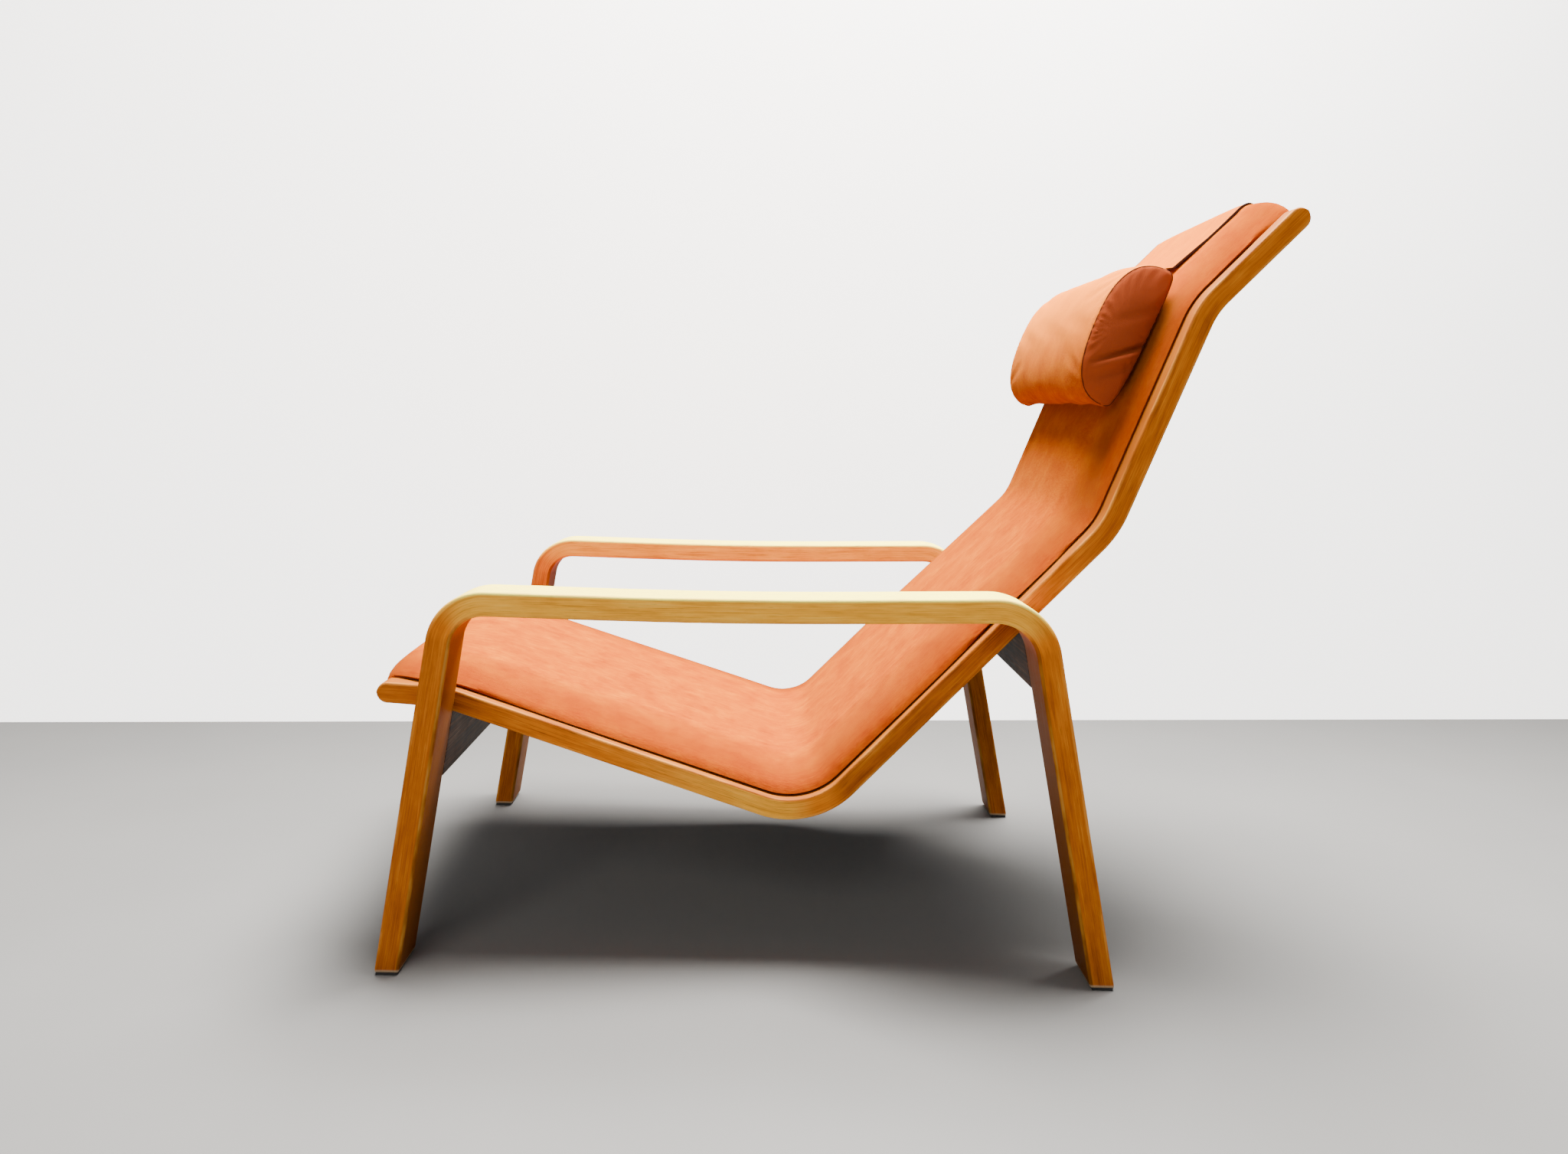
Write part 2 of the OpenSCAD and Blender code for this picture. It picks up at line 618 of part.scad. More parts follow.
module tack_holes(s) {
  for (x = tack_x) on_rail(s, cross_low) translate([x, 0, -1]) cylinder(d = tack_d, h = tack_l + 1);
}
module cover_tacks() {
  color(steel) for (s = [nose_tack_s, top_tack_s]) for (x = tack_x) on_rail(s, lip_low) {
    translate([x, 0, -tack_head_t]) cylinder(d = tack_head_d, h = tack_head_t);
    translate([x, 0, -tack_head_t]) cylinder(d = tack_d, h = tack_l + cover_t);
  }
}

module under_cloth() {
  high = cross_low - soft_gap;
  color(black) across(-pad_half, pad_half)
    polygon(ribbon(lip_len + 1, seg_s(4, 12), high - under_cloth_t, high));
}

// Press studs on the back of the top panel: posts in three rows, caps on the tail band
stud_shank_d = 3;
stud_post_d = 6;
stud_inset = 28;
stud_x = [for (i = [0:stud_count - 1])
  (i - (stud_count - 1) / 2) * 2 * (flap_half - stud_inset) / (stud_count - 1)];
stud_rows_s = [for (k = [0:slide_down / stud_pitch]) stud_s + k * stud_pitch];

module stud_rows(n0, n1, d) {
  for (s = stud_rows_s) for (x = stud_x) on_rail(s, n0) translate([x, 0, 0]) cylinder(d = d, h = n1 - n0);
}
module stud_posts() {
  color(steel) {
    stud_rows(cross_low - 1.6, cross_low, stud_post_d);
    stud_rows(cross_low - eps, cross_low + 6, stud_shank_d);
  }
}
module stud_caps() {
  cap_t = 1;
  color(steel) for (x = stud_x) on_rail(stud_s, flap_low - flap_t - cap_t)
    translate([x, 0, 0]) cylinder(d = stud_cap_d, h = cap_t);
}

// The flap: from the cushion over the top of the pad, round the top panel's edge, to the tail band
binding_rise = 0.3;
flap_stations = concat([-flap_half],
  [for (x = pad_stations) if (abs(x) < flap_half - 5) x], [flap_half]);
function flap_over_line(x, d) = concat(
  [for (s = flap_marks) [s, pad_top(s, x) + d]],
  [for (j = [round_steps:-1:1]) pad_end(path_len, 1, x, d, 90 * j / round_steps)],
  [for (j = [1:4]) let (a = -90 * j / 4, r = -lip_low + d) [path_len + r * cos(a), r * sin(a)]]);
function flap_over_loop(x, x_out, d0, d1) = let (in_line = flap_over_line(x, d0), out_line = flap_over_line(x, d1))
  place(x_out, concat(out_line, backwards(in_line)));

module flap_over_top() {
  color(fabric) skin(other_split = true,
    loops = [for (x = flap_stations) flap_over_loop(x, x, flap_gap, flap_gap + flap_t)]);
}
module flap_over_top_binding() {
  color(leather) both_sides() skin([for (x = [flap_half, flap_half + binding_w])
    flap_over_loop(flap_half, x, flap_gap, flap_gap + flap_t + binding_rise)]);
}

// Front stretch of the flap, between the cushion's top seam and the pad
function flap_front_loop(x, x_out, grow) =
  let (low = beside(3, head_up + head_h / 2 + 2.5, head_back(x) + 6))
  let (high_s = flap_line_start - 0.2, n = pad_top(high_s, x) + flap_gap)
  let (high = on_path(high_s, n), high_out = on_path(high_s, n + flap_t + grow))
  let (side = (flap_t + grow) * upright(seg_a[last] + 8))
  [[x_out, low[0], low[1]], [x_out, high[0], high[1]], [x_out, high_out[0], high_out[1]],
   [x_out, low[0] + side[0], low[1] + side[1]]];
module flap_front() {
  color(fabric) skin([for (x = flap_stations) backwards(flap_front_loop(x, x, 0))]);
}
module flap_front_binding() {
  color(leather) both_sides() skin([for (x = [flap_half, flap_half + binding_w])
    backwards(flap_front_loop(flap_half, x, binding_rise))]);
}

// Rear stretch of the flap, on the back of the top panel
module flap_rear() {
  color(fabric) across(-flap_half, flap_half)
    polygon(ribbon(tail_s[1], path_len - 0.2, flap_low - flap_t, flap_low));
}
module flap_rear_binding() {
  color(leather) both_sides() across(flap_half, flap_half + binding_w)
    polygon(ribbon(tail_s[1], path_len - 0.2, flap_low - flap_t, flap_low));
}
module tail_band() {
  color(leather) across(-flap_half - binding_w, flap_half + binding_w)
    polygon(ribbon(tail_s[0], tail_s[1], flap_low - flap_t, flap_low));
}

// Head cushion: a crowned bolster with a flat back and two end panels
head_sink = 16;
panel_puff = 8;
head_points = 24;
head_rest = rail_t / 2 + crown_back + 0.5;
function head_back(x) = head_rest - 7 * pow(abs(x) / (head_w / 2), 3);
function signed_pow(v, e) = sign(v) * pow(abs(v), e);
// One point of the outline, shrunk inwards by d and scaled by k towards the middle
function head_point(x, a, d, k) =
  let (belly = head_belly * (1 - pow(abs(x) / (head_w / 2), 3)))
  let (half = (head_h / 2 - d + belly / 3) * k, level = head_back(x) + head_sink)
  let (mid = head_back(x) + head_depth / 2)
  let (up = (head_depth + belly - head_sink - d), down = head_sink - d)
  let (n = level + (sin(a) > 0 ? up * pow(sin(a), 0.75) : -down * pow(-sin(a), 0.6)))
  beside(3, head_up + half * signed_pow(cos(a), 0.7), mid + (n - mid) * k);
function head_loop(x, x_out, d, k) = [for (i = [0:head_points - 1])
  let (p = head_point(x, 360 * i / head_points, d, k)) [x_out, p[0], p[1]]];
head_stations = [for (i = [-4:4]) i / 4];
function head_loops(d) = let (w = head_w / 2 - d, puff = panel_puff) concat(
  [head_loop(-w, -w - puff, d, 0.45), head_loop(-w, -w - puff * 0.7, d, 0.8)],
  [for (i = head_stations) head_loop(w * i, w * i, d, 1)],
  [head_loop(w, w + puff * 0.7, d, 0.8), head_loop(w, w + puff, d, 0.45)]);

module headrest_cover() {
  color(fabric) difference() {
    skin(head_loops(0));
    skin(head_loops(cover_t));
  }
}
module headrest_filling() {
  color(foam) skin(head_loops(cover_t + soft_gap));
}

// Piping: a round cord sewn round each end panel
module headrest_piping() {
  r = piping_d / 2;
  steps = 6;
  ring = [for (i = [0:head_points - 1]) head_point(head_w / 2, 360 * i / head_points, -r, 1)];
  points = [for (i = [0:head_points - 1]) for (j = [0:steps - 1])
    let (next = ring[(i + 1) % head_points], before = ring[(i + head_points - 1) % head_points])
    let (t = next - before, out = [t[1], -t[0]] / norm(t), a = 360 * j / steps)
    [head_w / 2 + r * sin(a), ring[i][0] + r * cos(a) * out[0], ring[i][1] + r * cos(a) * out[1]]];
  faces = [for (i = [0:head_points - 1]) for (j = [0:steps - 1])
    let (i2 = (i + 1) % head_points, j2 = (j + 1) % steps)
    each [[i * steps + j, i * steps + j2, i2 * steps + j2], [i * steps + j, i2 * steps + j2, i2 * steps + j]]];
  color(fabric) both_sides() polyhedron(points, faces);
}

side_frame(1);  // side_frame_left
side_frame(-1);  // side_frame_right
seat_rail(1);  // seat_rail_left
seat_rail(-1);  // seat_rail_right
front_board();
rear_board();
board_dowels();
nose_cross_rail();
hip_cross_rail();
back_cross_rail();
top_panel();
cross_rail_dowels();
rail_bolts();
bolt_washers();
threaded_inserts();
foot_glides();
seat_webbing();
back_webbing();
webbing_clips();
pad_foam();
pad_cover();
cover_tacks();
under_cloth();
stud_posts();
flap_over_top();
flap_over_top_binding();
flap_front();
flap_front_binding();
flap_rear();
flap_rear_binding();
tail_band();
stud_caps();
headrest_cover();
headrest_filling();
headrest_piping();
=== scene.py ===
from math import atan2, cos, pi, radians, sin, tan

import bmesh
import bpy
import numpy as np
from mathutils import Matrix, Vector
from mathutils.bvhtree import BVHTree


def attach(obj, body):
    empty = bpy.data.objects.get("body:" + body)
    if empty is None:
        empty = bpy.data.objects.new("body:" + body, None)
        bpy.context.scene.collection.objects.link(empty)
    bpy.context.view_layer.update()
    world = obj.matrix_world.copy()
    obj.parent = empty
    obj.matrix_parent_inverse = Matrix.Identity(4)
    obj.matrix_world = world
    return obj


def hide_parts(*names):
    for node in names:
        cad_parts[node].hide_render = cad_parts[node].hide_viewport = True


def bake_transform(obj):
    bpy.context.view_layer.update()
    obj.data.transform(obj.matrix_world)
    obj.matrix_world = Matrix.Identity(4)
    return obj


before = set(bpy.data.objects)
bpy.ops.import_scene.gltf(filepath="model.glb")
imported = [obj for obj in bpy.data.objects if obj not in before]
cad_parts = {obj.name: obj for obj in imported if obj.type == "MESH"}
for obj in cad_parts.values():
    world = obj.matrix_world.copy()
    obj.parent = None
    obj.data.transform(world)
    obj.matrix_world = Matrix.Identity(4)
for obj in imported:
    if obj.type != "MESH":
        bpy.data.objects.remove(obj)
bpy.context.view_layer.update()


# Camera: low beside the chair, looking almost square at its side.
# Its focal length is given in pixels of the picture.
scene = bpy.context.scene
picture_width = 2048
focal_length = 1540.1
sensor_width = 36.0


def placed(name, data):
    """A new object with this data, linked into the scene at the origin."""
    made = bpy.data.objects.new(name, data)
    scene.collection.objects.link(made)
    return made


camera_data = bpy.data.cameras.new("camera")
camera_data.sensor_width = sensor_width
camera_data.lens = sensor_width * focal_length / picture_width
camera_data.clip_start = 0.05
camera = placed("camera", camera_data)
to_right = Vector((0.01663, 0.99939, 0.03082)).normalized()
to_front = Vector((-0.99196, 0.02036, -0.12489)).normalized()
to_top = to_right.cross(to_front).normalized()
turned = Matrix((to_right, to_top, -to_front)).transposed()
camera.matrix_world = Matrix.Translation((1.5778, -0.0797, 0.6150)) @ turned.to_4x4()
scene.camera = camera


# Shader maths: one small class wraps a socket, so that sums on sockets read as plain sums,
# and one method of a finish adds any other node with its settings and the values of its sockets.
class Wire:
    def __init__(self, finish, socket):
        self.finish = finish
        self.socket = socket

    def sum_node(self, kind, first, second):
        return self.finish.node("ShaderNodeMath", {"operation": kind}, {0: first, 1: second})

    def __add__(self, other):
        return self.sum_node("ADD", self, other)

    __radd__ = __add__

    def __sub__(self, other):
        return self.sum_node("SUBTRACT", self, other)

    def __rsub__(self, other):
        return self.sum_node("SUBTRACT", other, self)

    def __mul__(self, other):
        return self.sum_node("MULTIPLY", self, other)

    __rmul__ = __mul__

    def __truediv__(self, other):
        return self.sum_node("DIVIDE", self, other)


class Finish:
    def __init__(self, name, **fixed):
        self.material = bpy.data.materials.new(name)
        self.material.use_nodes = True
        self.tree = self.material.node_tree
        self.shader = self.tree.nodes["Principled BSDF"]
        for socket, value in fixed.items():
            self.shader.inputs[socket.replace("_", " ")].default_value = value

    def node(self, kind, settings, sockets, out=0):
        made = self.tree.nodes.new(kind)
        for key, value in settings.items():
            if key == "stops":
                ramp = made.color_ramp
                for place, colour in value:
                    stop = ramp.elements.new(place)
                    stop.color = (*colour, 1)
                ramp.elements.remove(ramp.elements[0])
                ramp.elements.remove(ramp.elements[len(value)])
            else:
                setattr(made, key, value)
        for key, value in sockets.items():
            if isinstance(value, Wire):
                self.tree.links.new(value.socket, made.inputs[key])
            else:
                made.inputs[key].default_value = value
        return Wire(self, made.outputs[out])

    def place(self):
        return self.node("ShaderNodeTexCoord", {}, {}, out=3)

    def stored(self, name, out=1):
        return self.node("ShaderNodeAttribute", {"attribute_name": name}, {}, out=out)

    def mix(self, share, first, second):
        first, second = [(*c, 1) if isinstance(c, tuple) else c for c in (first, second)]
        return self.node("ShaderNodeMix", {"data_type": "RGBA"}, {0: share, 6: first, 7: second}, out=2)

    def toned(self, share, places, colours):
        return self.node("ShaderNodeValToRGB", {"stops": list(zip(places, colours))}, {0: share})

    def noise(self, place, scale, detail=3.0, rough=0.5):
        sockets = {"Vector": place, "Scale": scale, "Detail": detail, "Roughness": rough}
        return self.node("ShaderNodeTexNoise", {}, sockets)

    def streaks(self, place, factors, detail=2.0, rough=0.5):
        """Noise over a place that is stretched by a factor on each axis."""
        stretched = self.node("ShaderNodeVectorMath", {"operation": "MULTIPLY"}, {0: place, 1: factors})
        return self.noise(stretched, 1.0, detail, rough)

    def ribs(self, place, scale, distortion):
        sockets = {"Vector": place, "Scale": scale, "Distortion": distortion}
        return self.node("ShaderNodeTexWave", {"bands_direction": "X"}, sockets)

    def fades(self, value, low, high):
        sockets = {0: value, 1: low, 2: high, 3: 0.0, 4: 1.0}
        return self.node("ShaderNodeMapRange", {"interpolation_type": "SMOOTHSTEP"}, sockets)

    def part(self, place, axis):
        return self.node("ShaderNodeSeparateXYZ", {}, {0: place}, out=axis)

    def wear(self, colour, roughness=None, height=None, depth=None):
        worn = {"Base Color": colour}
        if height:
            bump = self.node("ShaderNodeBump", {}, {"Height": height, "Distance": depth, "Strength": 1.0})
            worn.update({"Roughness": roughness, "Normal": bump})
        for socket, wire in worn.items():
            self.tree.links.new(wire.socket, self.shader.inputs[socket])


# Studio: a plain pale floor, a plain pale wall close behind the chair, one large soft light above
# and in front of the chair, and a weak light beside the camera. The wall shows from its front only.
wall_left = np.array((-0.694, -1.553))
wall_right = np.array((-1.075, 1.809))
wall_height = 1.75
floor_half = 9
lights_aim = Vector((0, 0, 0.4))
floor = Finish("studio_floor", Roughness=0.8)
floor_cloud = floor.noise(floor.place(), 3.0)
floor.wear(floor.mix(floor_cloud, (0.145, 0.143, 0.139), (0.170, 0.168, 0.163)))
wall = Finish("studio_wall", Roughness=0.9, Emission_Strength=2.9)
wall_cloud = wall.noise(wall.place(), 2.0)
wall_colour = wall.mix(wall_cloud, (0.80, 0.785, 0.765), (0.86, 0.845, 0.83))
wall.wear(wall_colour)
wall.tree.links.new(wall_colour.socket, wall.shader.inputs["Emission Color"])
wall_back = wall.node("ShaderNodeNewGeometry", {}, {}, out=6)
wall_clear = wall.node("ShaderNodeBsdfTransparent", {}, {})
wall_coat = Wire(wall, wall.shader.outputs[0])
wall_sides = wall.node("ShaderNodeMixShader", {}, {0: wall_back, 1: wall_coat, 2: wall_clear})
wall.tree.links.new(wall_sides.socket, wall.tree.nodes["Material Output"].inputs[0])
wall_along = (wall_right - wall_left) * 2
wall_start = wall_left - wall_along
wall_end = wall_right + wall_along
wall_corners = [(*wall_end, 0), (*wall_end, wall_height), (*wall_start, wall_height), (*wall_start, 0)]
floor_corners = [(sx * floor_half, sy * floor_half, 0) for sx, sy in [(-1, -1), (1, -1), (1, 1), (-1, 1)]]
for name, corners, finish in [
    ("studio_floor", floor_corners, floor),
    ("studio_wall", wall_corners, wall),
]:
    stage_mesh = bpy.data.meshes.new(name)
    stage_mesh.from_pydata(np.array(corners, float).tolist(), [], [(0, 1, 2, 3)])
    stage_mesh.materials.append(finish.material)
    stage_piece = placed(name, stage_mesh)
    stage_piece.visible_diffuse = finish is floor
    stage_piece.visible_glossy = finish is floor

world = bpy.data.worlds.new("studio_air")
world.use_nodes = True
air = world.node_tree.nodes["Background"].inputs
air["Color"].default_value = (0.93, 0.96, 1.0, 1)
air["Strength"].default_value = 0.22
scene.world = world
for name, light_at, wide, deep, power, colour in [
    ("top_light", (-0.45, 0.25, 2.90), 1.5, 1.7, 730, (1.0, 0.975, 0.94)),
    ("side_light", (3.2, -1.0, 1.9), 1.6, 1.6, 58, (1.0, 0.96, 0.90)),
]:
    light_data = bpy.data.lights.new(name, "AREA")
    light_data.shape = "RECTANGLE"
    light_data.energy = power
    light_data.size = wide
    light_data.size_y = deep
    light_data.color = colour
    light = placed(name, light_data)
    light.location = light_at
    light.rotation_euler = (lights_aim - Vector(light_at)).to_track_quat("-Z", "Y").to_euler()


# Side frames: one wide strip of thin veneers each, glued in a bend over a form, so that it makes
# both legs and the arm. The side shows the edges of the veneers, the faces show their grain.
# Edges are rounded by hand, and the feet are cut level with the floor.
frame_width = 0.065
frame_thick = 0.027
frame_outside = 0.330
frame_edge = 0.0026
veneer_thick = 0.0018
glide_height = 0.003
foot_front = -0.481833
foot_rear = 0.318167
foot_edge = 0.0025
leg_lean_front = radians(8.9)
leg_lean_rear = radians(12.2)
arm_front = 0.4195
arm_dip = 0.4175
arm_rear = 0.4285
arm_dip_back = 0.297
arm_dip_run = 0.140
arm_bend_front = 0.050
arm_bend_rear = 0.060


def bent_path(corners, radii, steps):
    """Distance, place and direction along straight stretches joined by round bends."""
    corners = [np.array(c, float) for c in corners]
    heads = [atan2(*(b - a)[::-1]) for a, b in zip(corners, corners[1:])]
    rows = [(corners[0], heads[0])]
    for corner, radius, before, after, count in zip(corners[1:], radii, heads, heads[1:], steps):
        turn = after - before
        side = np.sign(turn)
        begin = corner - radius * tan(abs(turn) / 2) * np.array((cos(before), sin(before)))
        centre = begin + side * radius * np.array((-sin(before), cos(before)))
        for k in range(count + 1):
            head = before + turn * k / count
            rows.append((centre - side * radius * np.array((-sin(head), cos(head))), head))
    rows.append((corners[-1], heads[-1]))
    place = np.array([row[0] for row in rows])
    head = np.array([row[1] for row in rows])
    run = np.concatenate([[0], np.cumsum(np.linalg.norm(np.diff(place, axis=0), axis=1))])
    return run, place, head


def rounded_section(half, x0, x1, edge):
    """Points round a bar's section, with an extra point beside each rounded edge: across, side, worn (edge
    wear and painted highlight).
    """
    points = []
    for cx, cn, start in [(x1, half, 0), (x0, half, 90), (x0, -half, 180), (x1, -half, 270)]:
        ox = cx - edge if cx == x1 else cx + edge
        on = cn - edge if cn > 0 else cn + edge
        on_face = (ox + 0.6 * edge * np.sign((x0 + x1) / 2 - cx), cn, 0.0)
        on_side = (cx, on - 0.6 * edge * np.sign(cn), 0.0)
        turn = np.radians([start, start + 30, start + 60, start + 90])
        corner = [(ox + edge * cos(a), on + edge * sin(a), 1.0) for a in turn]
        if start in (90, 270):
            points += [on_face, *corner, on_side]
        else:
            points += [on_side, *corner, on_face]
    return points


def store(mesh, name, values):
    """Keeps one number or one vector for each point of a mesh under this name."""
    values = np.array(values, float)
    kind, field = ("FLOAT", "value") if values.ndim == 1 else ("FLOAT_VECTOR", "vector")
    mesh.attributes.new(name, kind, "POINT").data.foreach_set(field, values.ravel())


def finished(name, mesh, finish, sharp, merged=False):
    """The mesh as a piece with outward faces, smooth but for its sharp edges."""
    built = bmesh.new()
    built.from_mesh(mesh)
    if merged:
        bmesh.ops.remove_doubles(built, verts=built.verts, dist=1e-6)
        bmesh.ops.dissolve_limit(built, angle_limit=radians(0.5), verts=built.verts, edges=built.edges)
    bmesh.ops.recalc_face_normals(built, faces=built.faces)
    built.to_mesh(mesh)
    built.free()
    mesh.materials.clear()
    mesh.materials.append(finish.material)
    mesh.shade_smooth()
    mesh.set_sharp_from_angle(angle=radians(sharp))
    return placed(name, mesh)


def new_piece(name, points, faces, finish, sharp, **stored):
    """A new closed piece, with values such as its grain stored on it for its finish."""
    mesh = bpy.data.meshes.new(name)
    mesh.from_pydata([tuple(p) for p in points], [], faces)
    for key, values in stored.items():
        store(mesh, key, values)
    return finished(name, mesh, finish, sharp)


def ring_faces(rings, around):
    """Quads between neighbouring rings of equal size, and a cap on the first and the last."""
    faces = []
    for base in range(0, (rings - 1) * around, around):
        for k in range(around):
            after = (k + 1) % around
            faces.append((base + k, base + after, base + around + after, base + around + k))
    return faces + [tuple(range(around))[::-1], tuple((rings - 1) * around + k for k in range(around))]


def round_edges(piece, width, least_angle):
    """Rounds the edges of a piece where its faces meet at more than this angle in degrees."""
    rounding = piece.modifiers.new("round_edge", "BEVEL")
    rounding.width = width
    rounding.segments = 2
    rounding.limit_method = "ANGLE"
    rounding.angle_limit = radians(least_angle)


veneer = Finish("oiled_veneer", IOR=1.38, Specular_IOR_Level=0.12)
veneer_grain = veneer.stored("grain")
veneer_edge_wear_and_highlight = veneer.stored("worn", 2)
# The stored tone is the wood's own paler, bleached tone from 0 to 1. Above 1 it is a painted highlight on the
# tops of the arms, below 0 painted shade on the inner faces of the legs and on the tops of the rails.
veneer_bleach_and_light = veneer.stored("bleached", 2)
veneer_painted_shade = 0 - veneer_bleach_and_light
veneer_sway = veneer.streaks(veneer_grain, (3.0, 20.0, 9.0)) - 0.5
veneer_level = (veneer.part(veneer_grain, 1) + 0.0010 * veneer_sway) / veneer_thick
veneer_sheet = veneer.node("ShaderNodeMath", {"operation": "FLOOR"}, {0: veneer_level})
veneer_tone = veneer.node("ShaderNodeTexWhiteNoise", {"noise_dimensions": "1D"}, {"W": veneer_sheet})
veneer_streak = veneer.streaks(veneer_grain, (16.0, 900.0, 420.0), 4.0, 0.6)
veneer_broad = veneer.streaks(veneer_grain, (16.0, 90.0, 60.0), 4.0, 0.6)
veneer_pore = veneer.fades(veneer.streaks(veneer_grain, (45.0, 1500.0, 900.0)), 0.62, 0.74)
veneer_mix = 0.50 * veneer_streak + 0.46 * veneer_broad + 0.04 * veneer_tone
veneer_brown, veneer_ochre, veneer_honey = [
    veneer.toned(veneer_mix, (0.34, 0.46, 0.55, 0.68), colours) for colours in [
        [(0.190, 0.038, 0.002), (0.310, 0.072, 0.003), (0.380, 0.098, 0.006), (0.500, 0.165, 0.014)],
        [(0.400, 0.092, 0.002), (0.580, 0.150, 0.003), (0.680, 0.190, 0.005), (0.820, 0.290, 0.012)],
        [(0.560, 0.210, 0.010), (0.830, 0.360, 0.022), (0.940, 0.450, 0.036), (0.980, 0.560, 0.075)],
    ]
]
veneer_colour = veneer.mix(veneer.fades(veneer_bleach_and_light, 0.0, 0.5), veneer_brown, veneer_ochre)
veneer_colour = veneer.mix(veneer.fades(veneer_bleach_and_light, 0.5, 1.0), veneer_colour, veneer_honey)
# Above 1 the wood turns to a pale yellow painted highlight; below 0 it turns to two browns of painted shade.
for state, low, colour in [
    (veneer_bleach_and_light, 1.0, (0.97, 0.87, 0.14)),
    (veneer_painted_shade, 0.0, (0.210, 0.062, 0.002)),
    (veneer_painted_shade, 1.0, (0.100, 0.028, 0.001)),
]:
    veneer_colour = veneer.mix(0.9 * veneer.fades(state, low, low + 1.0), veneer_colour, colour)
veneer_line_show = veneer.fades(veneer.streaks(veneer_grain, (6.0, 260.0, 30.0)), 0.52, 0.66)
veneer_line = (1 - veneer.fades(veneer_level - veneer_sheet, 0.0, 0.30)) * veneer_line_show
veneer_colour = veneer.mix(0.40 * veneer_line, veneer_colour, (0.13, 0.033, 0.004))
veneer_colour = veneer.mix(0.50 * veneer_pore, veneer_colour, (0.12, 0.033, 0.004))
# Rounded edges are paler: partly wear, partly a painted highlight where the edges catch the light.
veneer_rub_and_highlight = veneer_edge_wear_and_highlight * veneer.fades(veneer.streaks(veneer_grain, (18.0, 60.0, 60.0), 3.0), 0.38, 0.68)
veneer_colour = veneer.mix(0.35 * veneer_rub_and_highlight, veneer_colour, (0.80, 0.38, 0.07))
veneer_foot = 1 - veneer.fades(veneer.part(veneer.place(), 2), 0.0050, 0.0080)
veneer_colour = veneer.mix(0.8 * veneer_foot, veneer_colour, (0.42, 0.32, 0.20))
veneer.wear(veneer_colour, 0.46 + 0.24 * veneer_streak, veneer_streak - 0.6 * veneer_pore, 0.00018)

front_top = (foot_front + arm_front * tan(leg_lean_front), arm_front)
rear_top = (foot_rear - arm_rear * tan(leg_lean_rear), arm_rear)
arm_low = (front_top[0] + arm_dip_back, arm_dip)
arm_rise = atan2(rear_top[1] - arm_low[1], rear_top[0] - arm_low[0])
dip_turn = arm_rise - atan2(arm_low[1] - front_top[1], arm_dip_back)
frame_run, frame_place, frame_head = bent_path(
    [(foot_front, 0), front_top, arm_low, rear_top, (foot_rear, 0)],
    [arm_bend_front, arm_dip_run / tan(dip_turn / 2), arm_bend_rear],
    [26, 8, 26],
)
frame_section = rounded_section(frame_thick / 2, frame_outside - frame_width, frame_outside, frame_edge)
for side, node in [(1, "side_frame_left"), (-1, "side_frame_right")]:
    points, grain, worn, bleached = [], [], [], []
    for run, place, head in zip(frame_run, frame_place, frame_head):
        level_cut = run in (frame_run[0], frame_run[-1])
        on_arm = float(np.interp(place[1], [arm_front - 0.055, arm_front + 0.002], [0.05, 1.0]))
        for x, n, edge_wear_and_highlight in frame_section:
            y = place[0] - n * sin(head)
            z = place[1] + n * cos(head)
            slide = (glide_height - z) / sin(head) if level_cut else 0
            points.append((side * x, y + slide * cos(head), z + slide * sin(head)))
            grain.append((run + slide + 4 * (side < 0), n, x))
            worn.append(edge_wear_and_highlight)
            # Painted light and shade: the tops of the arms are made paler as if lit from above, and the inner
            # faces of the legs darker as if in shade.
            sunlit = max(0.0, 2 * on_arm - 1) * (n > 0.4 * frame_thick)
            shaded = 1.7 * (1 - on_arm) * (n < -0.4 * frame_thick)
            bleached.append(on_arm + sunlit - shaded)
    frame_faces = ring_faces(len(frame_run), len(frame_section))
    side_frame = new_piece(
        node + "_strip", points, frame_faces, veneer, 40, grain=grain, worn=worn, bleached=bleached)
    round_edges(side_frame, foot_edge, 60)
    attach(side_frame, "chair")
    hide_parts(node)


# Seat rails: two narrow strips of the same veneers, bent in one zig-zag from the nose of the seat
# to the top of the back. Both ends are rounded over their whole thickness.
rail_width = 0.028
rail_thick = 0.024
rail_edge = 0.0022
rail_outside = frame_outside - frame_width
rail_inside = rail_outside - rail_width
rail_stretches = [(0.064, -3.0), (0.4415, -17.9), (0.4765, 46.9), (0.265, 69.5), (0.134, 46.5)]
rail_radii = [0.150, 0.093, 0.115, 0.095]
rail_corners = [(-0.497333, 0.305)]
for length, rise in rail_stretches:
    rail_y, rail_z = rail_corners[-1]
    rail_corners.append((rail_y + length * cos(radians(rise)), rail_z + length * sin(radians(rise))))
rail_run, rail_place, rail_head = bent_path(rail_corners, rail_radii, [6, 26, 12, 12])
rail_length = rail_run[-1]


def on_rails(s, n):
    """Place in Y and Z at the distance s along the rails, n above their centre line."""
    s = np.asarray(s, float)
    head = np.interp(s, rail_run, rail_head)
    past_end = np.clip(s, None, 0) + np.clip(s - rail_length, 0, None)
    y = np.interp(s, rail_run, rail_place[:, 0]) + past_end * np.cos(head)
    z = np.interp(s, rail_run, rail_place[:, 1]) + past_end * np.sin(head)
    return y - n * np.sin(head), z + n * np.cos(head)


def rail_point(x, s, n):
    """The point at x, at the distance s along the rails, n above their centre line."""
    return (x, *(float(v) for v in on_rails(s, n)))


